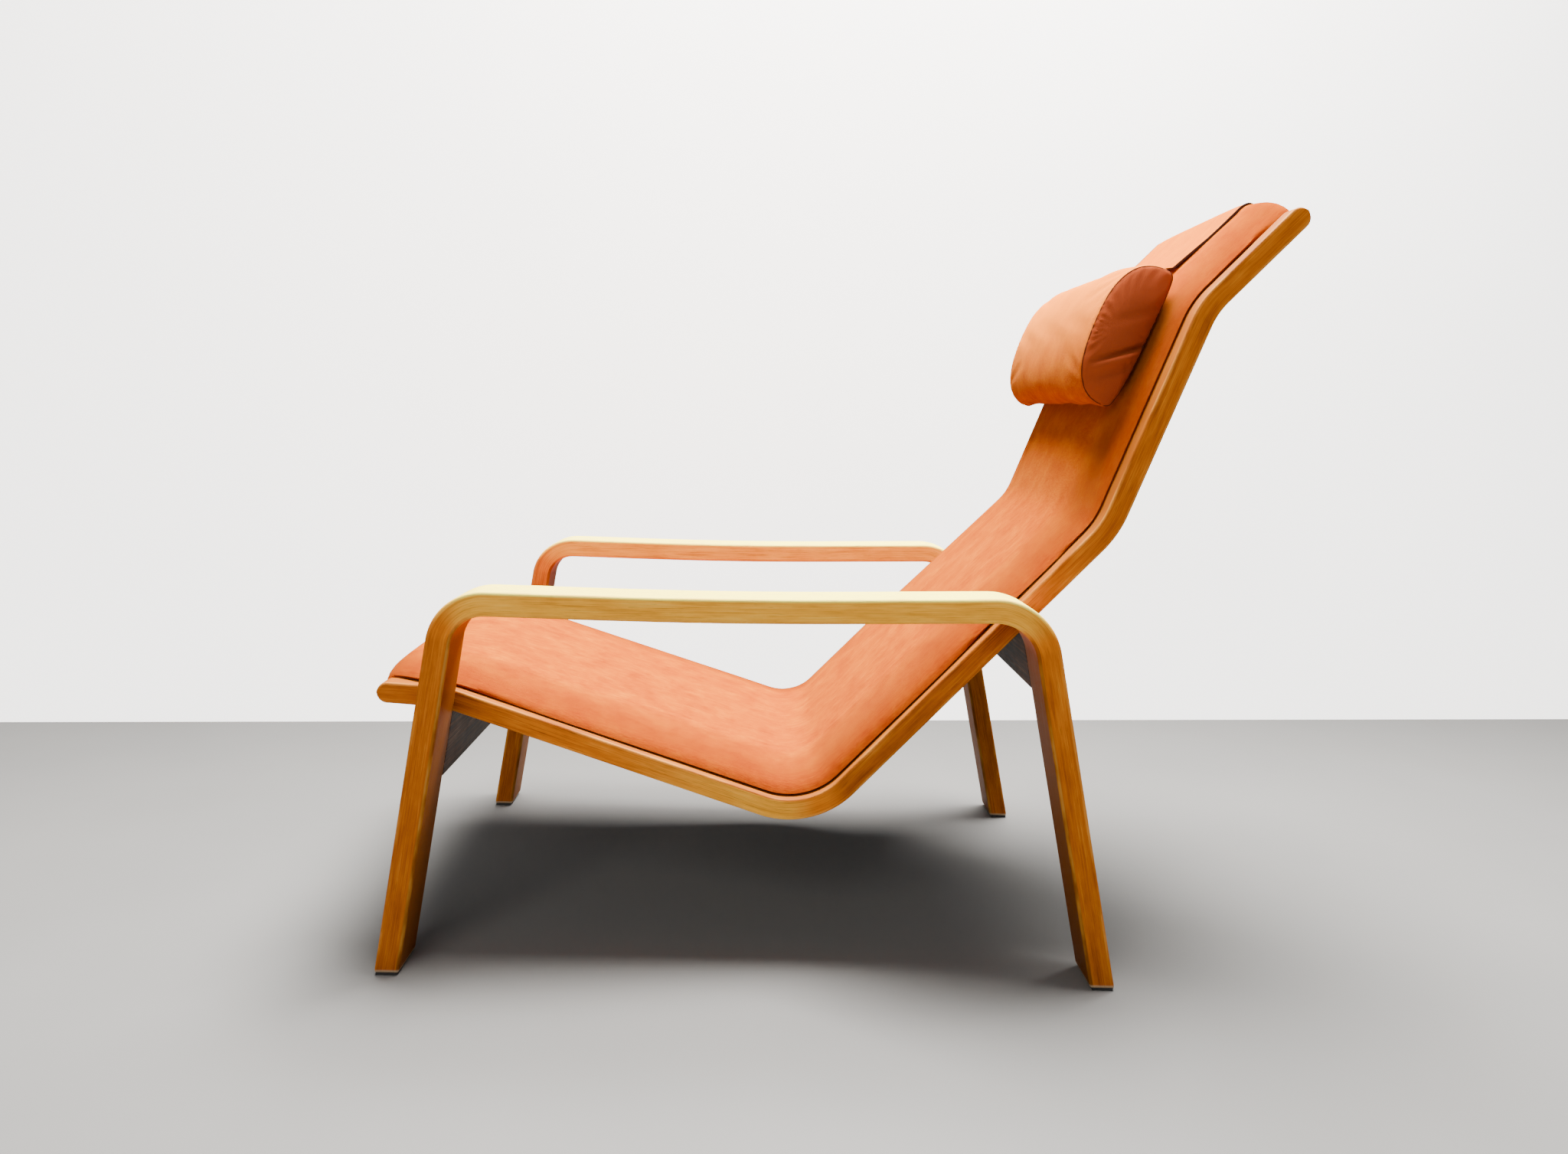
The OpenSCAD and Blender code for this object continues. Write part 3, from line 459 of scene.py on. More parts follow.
end_turn = np.radians((4, 14, 26, 38, 50, 62, 76))
rail_rings = [(-rail_thick / 2 * cos(a), sin(a)) for a in end_turn]
rail_rings += [(run, 1.0) for run in rail_run]
rail_rings += [(rail_length + rail_thick / 2 * cos(a), sin(a)) for a in end_turn[::-1]]
rail_pale_at = [0.0, 0.16, 0.22, 0.30, 0.38, 0.43, 0.47, 0.56, 0.80, 1.00, 1.36]
rail_pale = [0.25, 0.08, 0.22, 0.37, 0.42, 0.95, 0.95, 0.03, 0.13, 0.25, 0.30]
for side, node in [(1, "seat_rail_left"), (-1, "seat_rail_right")]:
    points, grain, worn, bleached = [], [], [], []
    for run, share in rail_rings:
        half = rail_thick / 2 * share
        at_seat = float(np.interp(run, rail_pale_at, rail_pale))
        rail_section = rounded_section(half, rail_inside, rail_outside, min(rail_edge, 0.8 * half))
        for x, n, edge_wear_and_highlight in rail_section:
            points.append(rail_point(side * x, run, n))
            grain.append((run + 2 + 4 * (side < 0), n, x))
            worn.append(edge_wear_and_highlight)
            # The top face of each rail gets painted shade, as if under the pad's side; the other faces take
            # the paler tone given along the rail.
            bleached.append(at_seat if n < 0.9 * half else -0.55)
    rail_faces = ring_faces(len(rail_rings), len(rail_section))
    seat_rail = new_piece(
        node + "_strip", points, rail_faces, veneer, 40, grain=grain, worn=worn, bleached=bleached)
    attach(seat_rail, "chair")
    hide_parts(node)


# Cross boards: two boards of dark stained wood between the side frames, one behind the front legs
# and one before the rear legs. They are dowelled to the frames and cut to the rails above.
board_edge = 0.0012
stain = Finish("dark_stain", IOR=1.46, Specular_IOR_Level=0.2)
stain_place = stain.place()
stain_streak = stain.streaks(stain_place, (9.0, 260.0, 260.0), 5.0, 0.65)
stain_patch = stain.noise(stain_place, 14.0, 4.0, 0.6)
stain_colour = stain.toned(0.65 * stain_streak + 0.35 * stain_patch, (0.36, 0.47, 0.56, 0.66), [
    (0.016, 0.008, 0.005), (0.052, 0.022, 0.010), (0.115, 0.055, 0.030), (0.250, 0.155, 0.095),
])
stain.wear(stain_colour, 0.5 + 0.25 * stain_streak, stain_streak, 0.0004)


def softened(name, node, finish, edge):
    """A merged copy of a CAD node with slightly rounded edges, which stands for that node."""
    piece = finished(name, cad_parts[node].data.copy(), finish, 35, merged=True)
    round_edges(piece, edge, 40)
    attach(piece, "chair")
    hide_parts(node)
    return piece


for node in ("front_board", "rear_board"):
    softened(node + "_worn", node, stain, board_edge)


# Inner frame: four cross rails of plain beech, dowelled between the seat rails. They hold the rails
# apart and carry the ends of the pad. Dowels are turned from the same beech.
beech = Finish("plain_beech", Roughness=0.6)
beech_place = beech.place()
beech_streak = beech.streaks(beech_place, (7.0, 190.0, 190.0), 5.0, 0.6)
beech_fleck = beech.fades(beech.streaks(beech_place, (160.0, 900.0, 900.0), 1.0), 0.62, 0.72)
beech_colour = beech.mix(beech_streak, (0.40, 0.25, 0.12), (0.66, 0.47, 0.27))
beech_colour = beech.mix(0.4 * beech_fleck, beech_colour, (0.33, 0.18, 0.08))
beech.wear(beech_colour, 0.5 + 0.2 * beech_streak, beech_streak, 0.0002)


def coat(nodes, finish):
    """Gives CAD nodes that show as they are their finish."""
    for node in nodes:
        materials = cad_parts[node].data.materials
        materials.clear()
        materials.append(finish.material)


coat(("nose_cross_rail", "hip_cross_rail", "back_cross_rail", "top_panel"), beech)
coat(("board_dowels", "cross_rail_dowels"), beech)


# Fasteners: zinc-plated bolts and washers in the rails, brass inserts in the side frames,
# and folded steel clips on the ends of the webs.
zinc = Finish("zinc_plate", Metallic=1.0)
zinc_cloud = zinc.noise(zinc.place(), 220.0, 4.0, 0.6)
zinc_colour = zinc.mix(zinc_cloud, (0.42, 0.43, 0.44), (0.66, 0.67, 0.68))
zinc.wear(zinc_colour, 0.25 + 0.25 * zinc_cloud, zinc_cloud, 0.00005)
brass = Finish("cut_brass", Metallic=1.0)
brass_cloud = brass.noise(brass.place(), 300.0, 3.0, 0.5)
brass_colour = brass.mix(brass_cloud, (0.52, 0.34, 0.10), (0.80, 0.60, 0.26))
brass.wear(brass_colour, 0.3 + 0.2 * brass_cloud, brass_cloud, 0.00005)
coat(("rail_bolts", "bolt_washers", "webbing_clips", "stud_posts"), zinc)
coat(("threaded_inserts",), brass)


# Glides: thin dark plastic plates under the feet, each held by its own pin.
# The edges of the plates are slightly rounded.
glide_edge = 0.0006
glide = Finish("glide_plastic", Roughness=0.5)
glide_cloud = glide.noise(glide.place(), 400.0, 3.0)
glide_colour = glide.mix(glide_cloud, (0.010, 0.010, 0.011), (0.030, 0.029, 0.028))
glide.wear(glide_colour, 0.4 + 0.3 * glide_cloud, glide_cloud, 0.0001)
softened("foot_glides_plate", "foot_glides", glide, glide_edge)


# Webbing: elastic straps of woven rubber and yarn, stretched across between the seat rails.
# Their ends sit in folded steel clips, which hook into slots in the rails.
strap_width = 0.048
strap_half_thick = 0.0009
strap_reach = 0.2438
strap_waist = 0.035
strap_level = 0.006
strap_places = [0.110393 + 0.061773 * k for k in range(6)]
strap_places += [0.578440, 0.649212, 0.719985, 0.790757, 0.867757, 1.018300, 1.082650, 1.146990]
web = Finish("woven_web", Roughness=0.85)
web_place = web.place()
web_rib = web.ribs(web_place, 120.0, 0.6)
web_yarn = web.noise(web_place, 700.0, 2.0)
web_colour = web.mix(0.6 * web_rib + 0.4 * web_yarn, (0.030, 0.022, 0.016), (0.110, 0.085, 0.060))
web.wear(web_colour, 0.8 + 0.1 * web_yarn, web_rib, 0.0003)


def evaluated(piece):
    """A new mesh of the piece as its modifiers leave it."""
    return bpy.data.meshes.new_from_object(piece.evaluated_get(bpy.context.evaluated_depsgraph_get()))


def repeated(name, places, tilts, single, finish, body):
    """One copy of a small mesh at each place, turned by its tilt about X, joined into one piece."""
    tree = bpy.data.node_groups.new(name + "_row", "GeometryNodeTree")
    kinds = {"Places": "Geometry", "Single piece": "Object", "Finish": "Material", "Size": "Float"}
    sockets = {
        label: tree.interface.new_socket(label, in_out="INPUT", socket_type="NodeSocket" + kind)
        for label, kind in kinds.items()
    }
    tree.interface.new_socket("Row", in_out="OUTPUT", socket_type="NodeSocketGeometry")
    inward, outward, single_info, tilt, copies, joined, coated = [tree.nodes.new(kind) for kind in (
        "NodeGroupInput", "NodeGroupOutput", "GeometryNodeObjectInfo", "GeometryNodeInputNamedAttribute",
        "GeometryNodeInstanceOnPoints", "GeometryNodeRealizeInstances", "GeometryNodeSetMaterial",
    )]
    tilt.data_type = "FLOAT_VECTOR"
    tilt.inputs["Name"].default_value = "tilt"
    for source, target in [
        (inward.outputs["Places"], copies.inputs["Points"]),
        (inward.outputs["Single piece"], single_info.inputs["Object"]),
        (single_info.outputs["Geometry"], copies.inputs["Instance"]),
        (tilt.outputs[0], copies.inputs["Rotation"]),
        (inward.outputs["Size"], copies.inputs["Scale"]),
        (copies.outputs[0], joined.inputs[0]),
        (joined.outputs[0], coated.inputs["Geometry"]),
        (inward.outputs["Finish"], coated.inputs["Material"]),
        (coated.outputs[0], outward.inputs["Row"]),
    ]:
        tree.links.new(source, target)
    points = bpy.data.meshes.new(name + "_places")
    points.from_pydata([tuple(p) for p in places], [], [])
    store(points, "tilt", tilts)
    carrier = placed(name + "_places", points)
    row = carrier.modifiers.new("row", "NODES")
    row.node_group = tree
    for label, value in [("Single piece", single), ("Finish", finish.material), ("Size", 1.0)]:
        row[sockets[label].identifier] = value
    bpy.context.view_layer.update()
    mesh = evaluated(carrier)
    bpy.data.objects.remove(carrier)
    bpy.data.objects.remove(single)
    mesh.set_sharp_from_angle(angle=radians(40))
    piece = placed(name, mesh)
    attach(piece, body)
    return piece


def rail_tilt(s):
    return (float(np.interp(s, rail_run, rail_head)), 0.0, 0.0)


strap_points = []
strap_columns = np.linspace(-strap_reach, strap_reach, 25)
strap_top = [(-0.5, 0.4), (-0.47, 1.0), (-0.2, 1.0), (0.0, 0.9), (0.2, 1.0), (0.47, 1.0), (0.5, 0.4)]
strap_section = strap_top + [(-across, -up) for across, up in strap_top]
for x in strap_columns:
    waist = 1 - strap_waist * (1 - (x / strap_reach) ** 4)
    strap_points += [(x, strap_width * waist * across, strap_half_thick * up) for across, up in strap_section]
strap = new_piece("strap", strap_points, ring_faces(len(strap_columns), len(strap_section)), web, 50)
strap_rows = [rail_point(0, s, strap_level) for s in strap_places]
webs = repeated("webs", strap_rows, [rail_tilt(s) for s in strap_places], strap, web, "chair")
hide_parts("seat_webbing", "back_webbing")


# Under cloth: thin black non-woven cloth, tacked below the rails over the webs to keep dust out.
# It is stretched, so it only sags a little between the rails.
cloth_level = -0.0083
cloth_start = 0.014
cloth_end = 1.244800
cloth_half = 0.236
cloth_half_thick = 0.0003
cloth_sag = 0.0035
dust = Finish("dust_cloth", Roughness=0.95)
dust_place = dust.place()
dust_thread = dust.ribs(dust_place, 400.0, 0.4)
dust_fold = dust.noise(dust_place, 18.0, 3.0)
dust_colour = dust.mix(0.5 * dust_thread + 0.5 * dust_fold, (0.010, 0.010, 0.011), (0.035, 0.034, 0.035))
dust.wear(dust_colour, 0.85 + 0.1 * dust_fold, dust_thread + 3.0 * dust_fold, 0.0003)
cloth_points = []
cloth_runs = np.linspace(cloth_start, cloth_end, 200)
cloth_columns = np.linspace(-cloth_half, cloth_half, 49)
cloth_bend = np.abs(np.gradient(np.interp(cloth_runs, rail_run, rail_head), cloth_runs))
cloth_to_end = np.minimum(cloth_runs - cloth_start, cloth_end - cloth_runs)
cloth_ease = np.clip(cloth_to_end / 0.06, 0, 1) / (1 + cloth_bend * 0.8)
for x in cloth_columns:
    sag = cloth_sag * cloth_ease * (1 - (x / cloth_half) ** 2)
    ripple = 0.0004 * np.sin(cloth_runs * 70 + 3 * np.sin(x * 12)) * (x / cloth_half) ** 2
    for face in (1, -1):
        y, z = on_rails(cloth_runs, cloth_level + face * cloth_half_thick - sag + ripple)
        cloth_points += [(x, float(a), float(b)) for a, b in zip(y, z)][::face]
cloth_faces = ring_faces(len(cloth_columns), 2 * len(cloth_runs))
under_sheet = new_piece("under_sheet", cloth_points, cloth_faces, dust, 60)
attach(under_sheet, "chair")
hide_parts("under_cloth")


# Pad: one long foam core in a cover of thick orange wool felt. It is crowned across the chair,
# sinks between the rails at its sides, and turns round the nose and the top of the frame.
pad_half = rail_inside - 0.001
cover = 0.0016
low_level = 0.0073
lip_level = -0.0091
lip_end = 0.013
pad_round = 0.031
nose_wall = 0.008
end_swell = 0.028
nose_swell = 0.009
end_crown = 0.024
hip_crown = 0.033
back_crown = 0.031
hip_run = rail_run[[8, 34]].mean()
upper_run = rail_run[47] - rail_radii[2] * tan(radians(11.3))
neck_run = rail_run[48]
felt = Finish(
    "wool_felt", Specular_IOR_Level=0.0,
    Sheen_Weight=0.12, Sheen_Roughness=0.35, Sheen_Tint=(1.0, 0.60, 0.15, 1))
felt_place = felt.place()
felt_nap_and_shading = felt.stored("nap")
felt_fibre = felt.noise(felt_place, 1700.0, 3.0, 0.65)
felt_cloud = felt.noise(felt_place, 26.0, 5.0, 0.66)
felt_streak = felt.streaks(felt_nap_and_shading, (38.0, 150.0, 150.0), 5.0, 0.70)
felt_hair = felt.streaks(felt_nap_and_shading, (150.0, 1100.0, 1100.0), 3.0, 0.6)
felt_fleck = felt.fades(felt.streaks(felt_nap_and_shading, (60.0, 480.0, 480.0)), 0.58, 0.70)
felt_mix = 0.22 * felt_fibre + 0.30 * felt_cloud + 0.26 * felt_streak + 0.22 * felt_hair
felt_colour = felt.toned(felt_mix, (0.40, 0.47, 0.53, 0.61), [
    (0.250, 0.034, 0.003), (0.340, 0.058, 0.001), (0.400, 0.082, 0.001), (0.490, 0.132, 0.001),
])
felt_painted_light = felt.part(felt_nap_and_shading, 2)
# The third value stored with the nap is painted light and shade. From 0 to 1 it darkens the felt to painted
# shade, from 1 to 2 it turns that towards the browner painted shade of the end panels, and below 0 it pales
# the felt as a painted highlight.
for share, colour in [
    (0.45 * felt_fleck, (0.20, 0.022, 0.004)),
    (felt_painted_light, (0.190, 0.025, 0.002)),
    (felt_painted_light - 1, (0.320, 0.064, 0.024)),
    (0 - felt_painted_light, (0.780, 0.205, 0.016)),
]:
    felt_colour = felt.mix(share, felt_colour, colour)
felt_relief = 0.6 * felt_fibre + 0.9 * felt_hair + 0.5 * felt_streak
felt.wear(felt_colour, 0.85 + 0.1 * felt_cloud, felt_relief, 0.0005)


def eased(share):
    """The share held between 0 and 1, with a soft start and a soft end."""
    share = np.clip(share, 0, 1)
    return share ** 2 * (3 - 2 * share)


def pad_shape(s, x):
    """Share of the pad's full rise, at the distance s along the rails and x from the middle."""
    fullness = np.interp(s, [neck_run, rail_length], [3.0, 6.0])
    steepness = np.interp(s, [hip_run, upper_run], [0.6, 0.8])
    rolled = np.interp(s, [0, 0.40, 0.75, upper_run], [0.35, 0.40, 0.35, 0.10])
    across = np.clip(np.abs(x) / pad_half, 0, 1)
    roll = np.sqrt(1 - np.clip(1 - (1 - across) / 0.13, 0, 1) ** 2)
    return (1 - rolled) * (1 - across ** fullness) ** steepness + rolled * roll


def pad_height(s, x):
    crown_at = [0, hip_run, upper_run, neck_run, rail_length]
    crown = np.interp(s, crown_at, [end_crown, hip_crown, back_crown, back_crown, end_crown])
    edge = low_level + cover
    return edge + (rail_thick / 2 - edge + crown) * pad_shape(s, x)


def pad_end(side, x, grow, angle):
    """A point of the rounded nose (side -1) or of the rounded top end (side 1)."""
    inward = pad_round + lip_level
    head = pad_height(inward if side < 0 else rail_length - inward, x) + grow
    swell = nose_swell * sin(2 * angle) * cos(angle) if side < 0 else end_swell * sin(angle)
    swell *= (1 - (abs(x) / pad_half) ** 8) ** 0.5
    along = grow - lip_level + swell - (pad_round + grow) * (1 - cos(angle))
    return (rail_length if side > 0 else 0) + side * along, nose_wall + (head - nose_wall) * sin(angle)


def pad_line(x):
    """The pad's outline at x: lip, nose, upper side, top end, lip."""
    lip_turn = np.radians(np.linspace(-90, -12, 6))
    turn = np.radians(np.linspace(0, 90, 9))
    points = [(lip_end, lip_level)]
    points += [(lip_level * cos(a), -lip_level * sin(a)) for a in lip_turn]
    points += [pad_end(-1, x, 0, a) for a in turn]
    top_end = [pad_end(1, x, 0, a) for a in turn[::-1]]
    along = np.linspace(points[-1][0] + 0.008, top_end[0][0] - 0.008, 150)
    points += [(s, pad_height(s, x)) for s in along] + top_end
    points += [(rail_length - lip_level * cos(a), -lip_level * sin(a)) for a in lip_turn[::-1]]
    points.append((rail_length - lip_end, lip_level))
    return np.array(points)


def pad_bulge(s, x, n):
    """How far the pad's side swells out over the rail, at x and n above the rail's middle."""
    swell_at = [-0.008, 0.030, 0.75, 1.0, rail_length - 0.050, rail_length - 0.008]
    swell = np.interp(s, swell_at, [0.0, 0.018, 0.018, 0.010, 0.010, 0.0])
    outward = eased((abs(x) / pad_half - 0.60) / 0.38)
    return np.sign(x) * swell * outward * eased((n - rail_thick / 2 - 0.0003) / 0.0020)


pad_columns = pad_half * np.sin(np.radians(np.linspace(-90, 90, 57)))
fold_s = [lip_end, 0.001, 0.004]
fold_n = [lip_level + cover, lip_level + cover, low_level]
under_s = [rail_length - s for s in fold_s] + list(np.linspace(rail_length - 0.03, 0.03, 110)) + fold_s[::-1]
under_n = fold_n + [low_level] * 110 + fold_n[::-1]
pad_points, pad_nap_and_shading = [], []
for x in pad_columns:
    upper = pad_line(x)
    along = np.concatenate([upper[:, 0], under_s])
    level = np.concatenate([upper[:, 1], under_n])
    y, z = on_rails(along, level)
    pad_points += np.column_stack([x + pad_bulge(along, x, level), y, z]).tolist()
    laid = np.concatenate([[0], np.cumsum(np.hypot(np.diff(y), np.diff(z)))])
    # Painted shade: the pad's sides next to the rails and the band just below the head cushion are darkened
    # as if in shade.
    side_painted_shade = 0.60 * eased((abs(x) / pad_half - 0.66) / 0.30)
    pad_painted_shade = np.clip(side_painted_shade + 0.35 * np.exp(-((along - 1.10) / 0.09) ** 2), 0, 0.7)
    pad_nap_and_shading += [(a, x, b) for a, b in zip(laid, pad_painted_shade)]
pad = new_piece("long_pad", pad_points, ring_faces(len(pad_columns), len(along)), felt, 60, nap=pad_nap_and_shading)
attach(pad, "chair")
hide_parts("pad_cover", "pad_foam")


# Cover tacks: small domed steel tacks through the turned-in ends of the cover,
# in a row across the chair at the nose and in another at the top of the back.
tack_room = rail_inside - 0.018 - 0.007
tack_run = lip_end - 0.005
tack_profile = [(0.0008, 0.0080), (0.0008, -0.0001), (0.0034, -0.0001)]
tack_profile += [(0.0034, -0.0003), (0.0026, -0.0006), (0.0012, -0.0008)]


def turned_piece(name, profile, around, finish):
    """A small piece turned about Z, from the radius and the height of each of its rings."""
    turn = np.linspace(0, 2 * pi, around, endpoint=False)
    points = [(r * cos(a), r * sin(a), z) for r, z in profile for a in turn]
    return new_piece(name, points, ring_faces(len(profile), around), finish, 40)


tack = turned_piece("tack", tack_profile, 12, zinc)
tack_places, tack_tilts = [], []
for s in (tack_run, rail_length - tack_run):
    tack_places += [rail_point(tack_room * k / 4, s, lip_level) for k in range(-4, 5)]
    tack_tilts += [rail_tilt(s)] * 9
tacks = repeated("tacks", tack_places, tack_tilts, tack, zinc, "chair")
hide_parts("cover_tacks")


# Head cushion: a bolster of the same felt, filled tight, with a sewn-in panel at each end.
# Its back rests on the crown of the pad. The felt is blown up a little, the seams hold it in.
cushion_half = pad_half - 0.029
cushion_height = 0.164
cushion_depth = 0.056
cushion_up = 0.216
cushion_sink = 0.016
cushion_rest = rail_thick / 2 + back_crown + 0.0005
cushion_skew = 0.0042
cushion_inset = 0.0010
panel_puff = 0.0125
puff_voxel = 0.0045
puff_pressure = 4.0
puff_steps = 20
puff_limit = 0.004
back_corner = np.array(rail_corners[3])
back_lean = radians(rail_stretches[3][1])
back_along = np.array((cos(back_lean), sin(back_lean)))
back_off = np.array((-sin(back_lean), cos(back_lean)))


def cushion_back(x, lean=0.0):
    return cushion_rest - (0.012 + 0.004 * lean) * np.abs(x / cushion_half) ** 4


def cushion_point(x, angle, scale=1.0):
    """A point of the cushion's outline at x, scaled towards the outline's middle: along the back, off it."""
    up, front = cos(angle), sin(angle)
    upper, side = max(0.0, up), abs(x / cushion_half)
    back = cushion_back(x, upper)
    off = back + cushion_sink
    if front > 0:
        hollow = 0.0025 * (1 - side ** 2) * upper
        forward = 0.006 * upper ** 1.5 * side ** 4
        rise = cushion_depth - cushion_sink - cushion_inset - hollow - forward + cushion_rest - back
        off += rise * front ** 0.75
    else:
        off -= (cushion_sink - cushion_inset) * (-front) ** (0.5 if up > 0 else 0.8)
    fuller = 0.002 if up > 0 else 0.0075 + 0.0035 * (1 - side ** 4)
    half = (cushion_height / 2 - cushion_inset + fuller) * scale
    along = half * np.sign(up) * abs(up) ** (0.7 if up > 0 else 0.8 if front > 0 else 1.0)
    middle = back + cushion_depth / 2
    return cushion_up + along + cushion_skew * (1 - x / cushion_half), middle + (off - middle) * scale


def on_back(x, along, off):
    return (x, *(back_corner + along * back_along + off * back_off).tolist())


cushion_turn = np.radians(np.linspace(0, 360, 96, endpoint=False))
panel_rings = [(cushion_half + panel_puff * (1 - c ** 2.5), c) for c in (0.12, 0.3, 0.5, 0.68, 0.82, 0.92)]
cushion_rings = [(-x, scale) for x, scale in panel_rings]
cushion_rings += [(x, 1.0) for x in np.linspace(-cushion_half, cushion_half, 61)]
cushion_rings += panel_rings[::-1]
cushion_points = []
for x, scale in cushion_rings:
    inner = np.clip(x, -cushion_half, cushion_half)
    cushion_points += [on_back(x, *cushion_point(inner, a, scale)) for a in cushion_turn]
cushion_faces = ring_faces(len(cushion_rings), len(cushion_turn))
cushion = new_piece("head_cushion", cushion_points, cushion_faces, felt, 180)
seam_rings = [
    np.array([on_back(x, *cushion_point(x, a)) for a in cushion_turn]) for x in (-cushion_half, cushion_half)
]
seams = np.concatenate(seam_rings)


def points_of(mesh):
    return np.array([v.co for v in mesh.vertices])


def gap_to(line, points):
    """Distance from each of these points to the nearest point of a line."""
    return np.sqrt([np.min(np.sum((line - point) ** 2, axis=1)) for point in points])


def puffed(piece, held):
    """Blows a closed piece up as cloth. Points close to the held line stay where they are."""
    inflated = placed(piece.name + "_puff", piece.data.copy())
    even = inflated.modifiers.new("even", "REMESH")
    even.mode = "VOXEL"
    even.voxel_size = puff_voxel
    bpy.context.view_layer.update()
    mesh = evaluated(inflated)
    inflated.modifiers.clear()
    inflated.data = mesh
    start = points_of(mesh)
    near = np.nonzero(gap_to(held, start) < 1.1 * puff_voxel)[0]
    inflated.vertex_groups.new(name="seam").add(near.tolist(), 1.0, "REPLACE")
    cloth = inflated.modifiers.new("cloth", "CLOTH")
    cloth.settings.use_pressure = True
    cloth.settings.uniform_pressure_force = puff_pressure
    cloth.settings.vertex_group_mass = "seam"
    cloth.settings.effector_weights.gravity = 0
    cloth.settings.bending_stiffness = 2
    cloth.point_cache.frame_start = 1
    cloth.point_cache.frame_end = puff_steps
    for step in range(1, puff_steps + 1):
        scene.frame_set(step)
    moved = evaluated(inflated)
    shift = points_of(moved) - start
    scene.frame_set(1)
    bpy.data.objects.remove(inflated)
    far = np.linalg.norm(shift, axis=1, keepdims=True)
    return moved, start + shift * np.minimum(1, puff_limit / np.maximum(far, 1e-9))


def finer_mesh(mesh, place):
    """The mesh with its points at these places, subdivided once."""
    mesh.vertices.foreach_set("co", place.ravel())
    carrier = placed("finer", mesh)
    carrier.modifiers.new("finer", "SUBSURF").levels = 1
    bpy.context.view_layer.update()
    fine = evaluated(carrier)
    bpy.data.objects.remove(carrier)
    return fine


cushion_mesh = finer_mesh(*puffed(cushion, seams))
cushion_place = points_of(cushion_mesh)
across = cushion_place[:, 0].copy()
along = (cushion_place[:, 1:] - back_corner) @ back_along
off = (cushion_place[:, 1:] - back_corner) @ back_off
side_of = np.sign(across)
seam_gap = gap_to(seams, cushion_place)
on_panel = np.clip((np.abs(across) - cushion_half + 0.0015) / 0.003, 0, 1)
crease_up = cushion_up - 0.022 - 0.75 * (off - cushion_rest - 0.010)
toward_back = np.clip((cushion_rest + 0.044 - off) / 0.036, 0, 1)
crease = 0
for deep, below, spread in [
    (-0.0070, 0, 0.0035), (0.0040, 0.009, 0.005), (-0.0022, 0.024, 0.005), (-0.0014, -0.045, 0.007),
]:
    crease = crease + deep * np.exp(-((along - crease_up + below) / spread) ** 2)
outward = np.column_stack([along - cushion_up, off - cushion_rest - cushion_depth / 2])
turn_of = np.arctan2(outward[:, 1], outward[:, 0])
outward /= np.linalg.norm(outward, axis=1, keepdims=True)
pucker = 0.0009 * np.sin(24 * turn_of + 4 * np.sin(3 * turn_of)) * np.exp(-(seam_gap / 0.014) ** 2)
pucker *= np.clip(seam_gap / 0.007 - 0.3, 0, 1)
drawn_in = -0.0011 * np.exp(-(seam_gap / 0.0035) ** 2)
across += side_of * on_panel * (crease * toward_back * np.clip(seam_gap / 0.010, 0, 1) + pucker)
slack = 0.0009 * np.sin(across * 55 + 2 * np.sin(turn_of * 2)) * np.sin(turn_of * 2 + across * 9)
swelling = (1 - on_panel) * (0.3 * pucker + slack * np.clip(seam_gap / 0.04, 0, 1)) + drawn_in
along += outward[:, 0] * swelling
off += outward[:, 1] * swelling
across += side_of * drawn_in * on_panel
off = np.maximum(off, cushion_back(np.clip(across, -cushion_half, cushion_half), 1.0) + 0.0002)
cushion_yz = back_corner + along[:, None] * back_along + off[:, None] * back_off
cushion_mesh.vertices.foreach_set("co", np.column_stack([across, cushion_yz]).ravel())
# Painted light and shade on the cushion: the top and front are paled as if lit from above, the lower part is
# a little darkened, the end panels are darkened as if in shade, and the creases in them are darker still.
in_crease = np.clip(-crease / 0.0075, 0, 1) ** 2 * toward_back
painted_top_light = 0.10 - 0.75 * eased((along - cushion_up + 0.085) / 0.12)
cushion_painted_light = np.where(on_panel > 0.5, 1.6 - 0.4 * in_crease, painted_top_light)
nap_along = turn_of * 0.055 * (1 - on_panel) + along * on_panel
nap_across = np.where(on_panel > 0.5, off, across)
store(cushion_mesh, "nap", np.column_stack([nap_along, nap_across, cushion_painted_light]))
cushion_mesh.materials.clear()
cushion_mesh.materials.append(felt.material)
cushion_mesh.shade_smooth()
cushion_mesh.update()
cushion.data = cushion_mesh
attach(cushion, "headrest")
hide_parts("headrest_cover", "headrest_filling")


# Cushion seams: dark thread in a groove round each end panel of the head cushion.
# It runs on the felt, in a line that is smoothed a little.
seam_radius = 0.0009
seam_around = 8
thread = Finish("seam_thread", Specular_IOR_Level=0.1)
thread_twist = thread.noise(thread.place(), 900.0, 2.0)
thread_colour = thread.mix(thread_twist, (0.045, 0.008, 0.003), (0.100, 0.020, 0.006))
thread.wear(thread_colour, 0.8 + 0.15 * thread_twist, thread_twist, 0.0002)
felt_polygons = [f.vertices for f in cushion_mesh.polygons]
felt_face = BVHTree.FromPolygons([v.co for v in cushion_mesh.vertices], felt_polygons)
seam_points, seam_faces = [], []
for seam_ring in seam_rings:
    line = np.array([felt_face.find_nearest(Vector(point))[0] for point in seam_ring])
    for step in range(6):
        line = 0.5 * line + 0.25 * np.roll(line, 1, axis=0) + 0.25 * np.roll(line, -1, axis=0)
    first = len(seam_points)
    for k in range(len(line)):
        ahead = line[(k + 1) % len(line)] - line[k - 1]
        out = np.cross(ahead / np.linalg.norm(ahead), (1, 0, 0))
        for a in np.linspace(0, 2 * pi, seam_around, endpoint=False):
            seam_points.append(line[k] + seam_radius * (cos(a) * out + (sin(a), 0, 0)))
        here, there = first + k * seam_around, first + (k + 1) % len(line) * seam_around
        for j in range(seam_around):
            after = (j + 1) % seam_around
            seam_faces.append((here + j, here + after, there + after, there + j))
seam_thread = new_piece("cushion_seams", seam_points, seam_faces, thread, 60)
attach(seam_thread, "headrest")
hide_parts("headrest_piping")


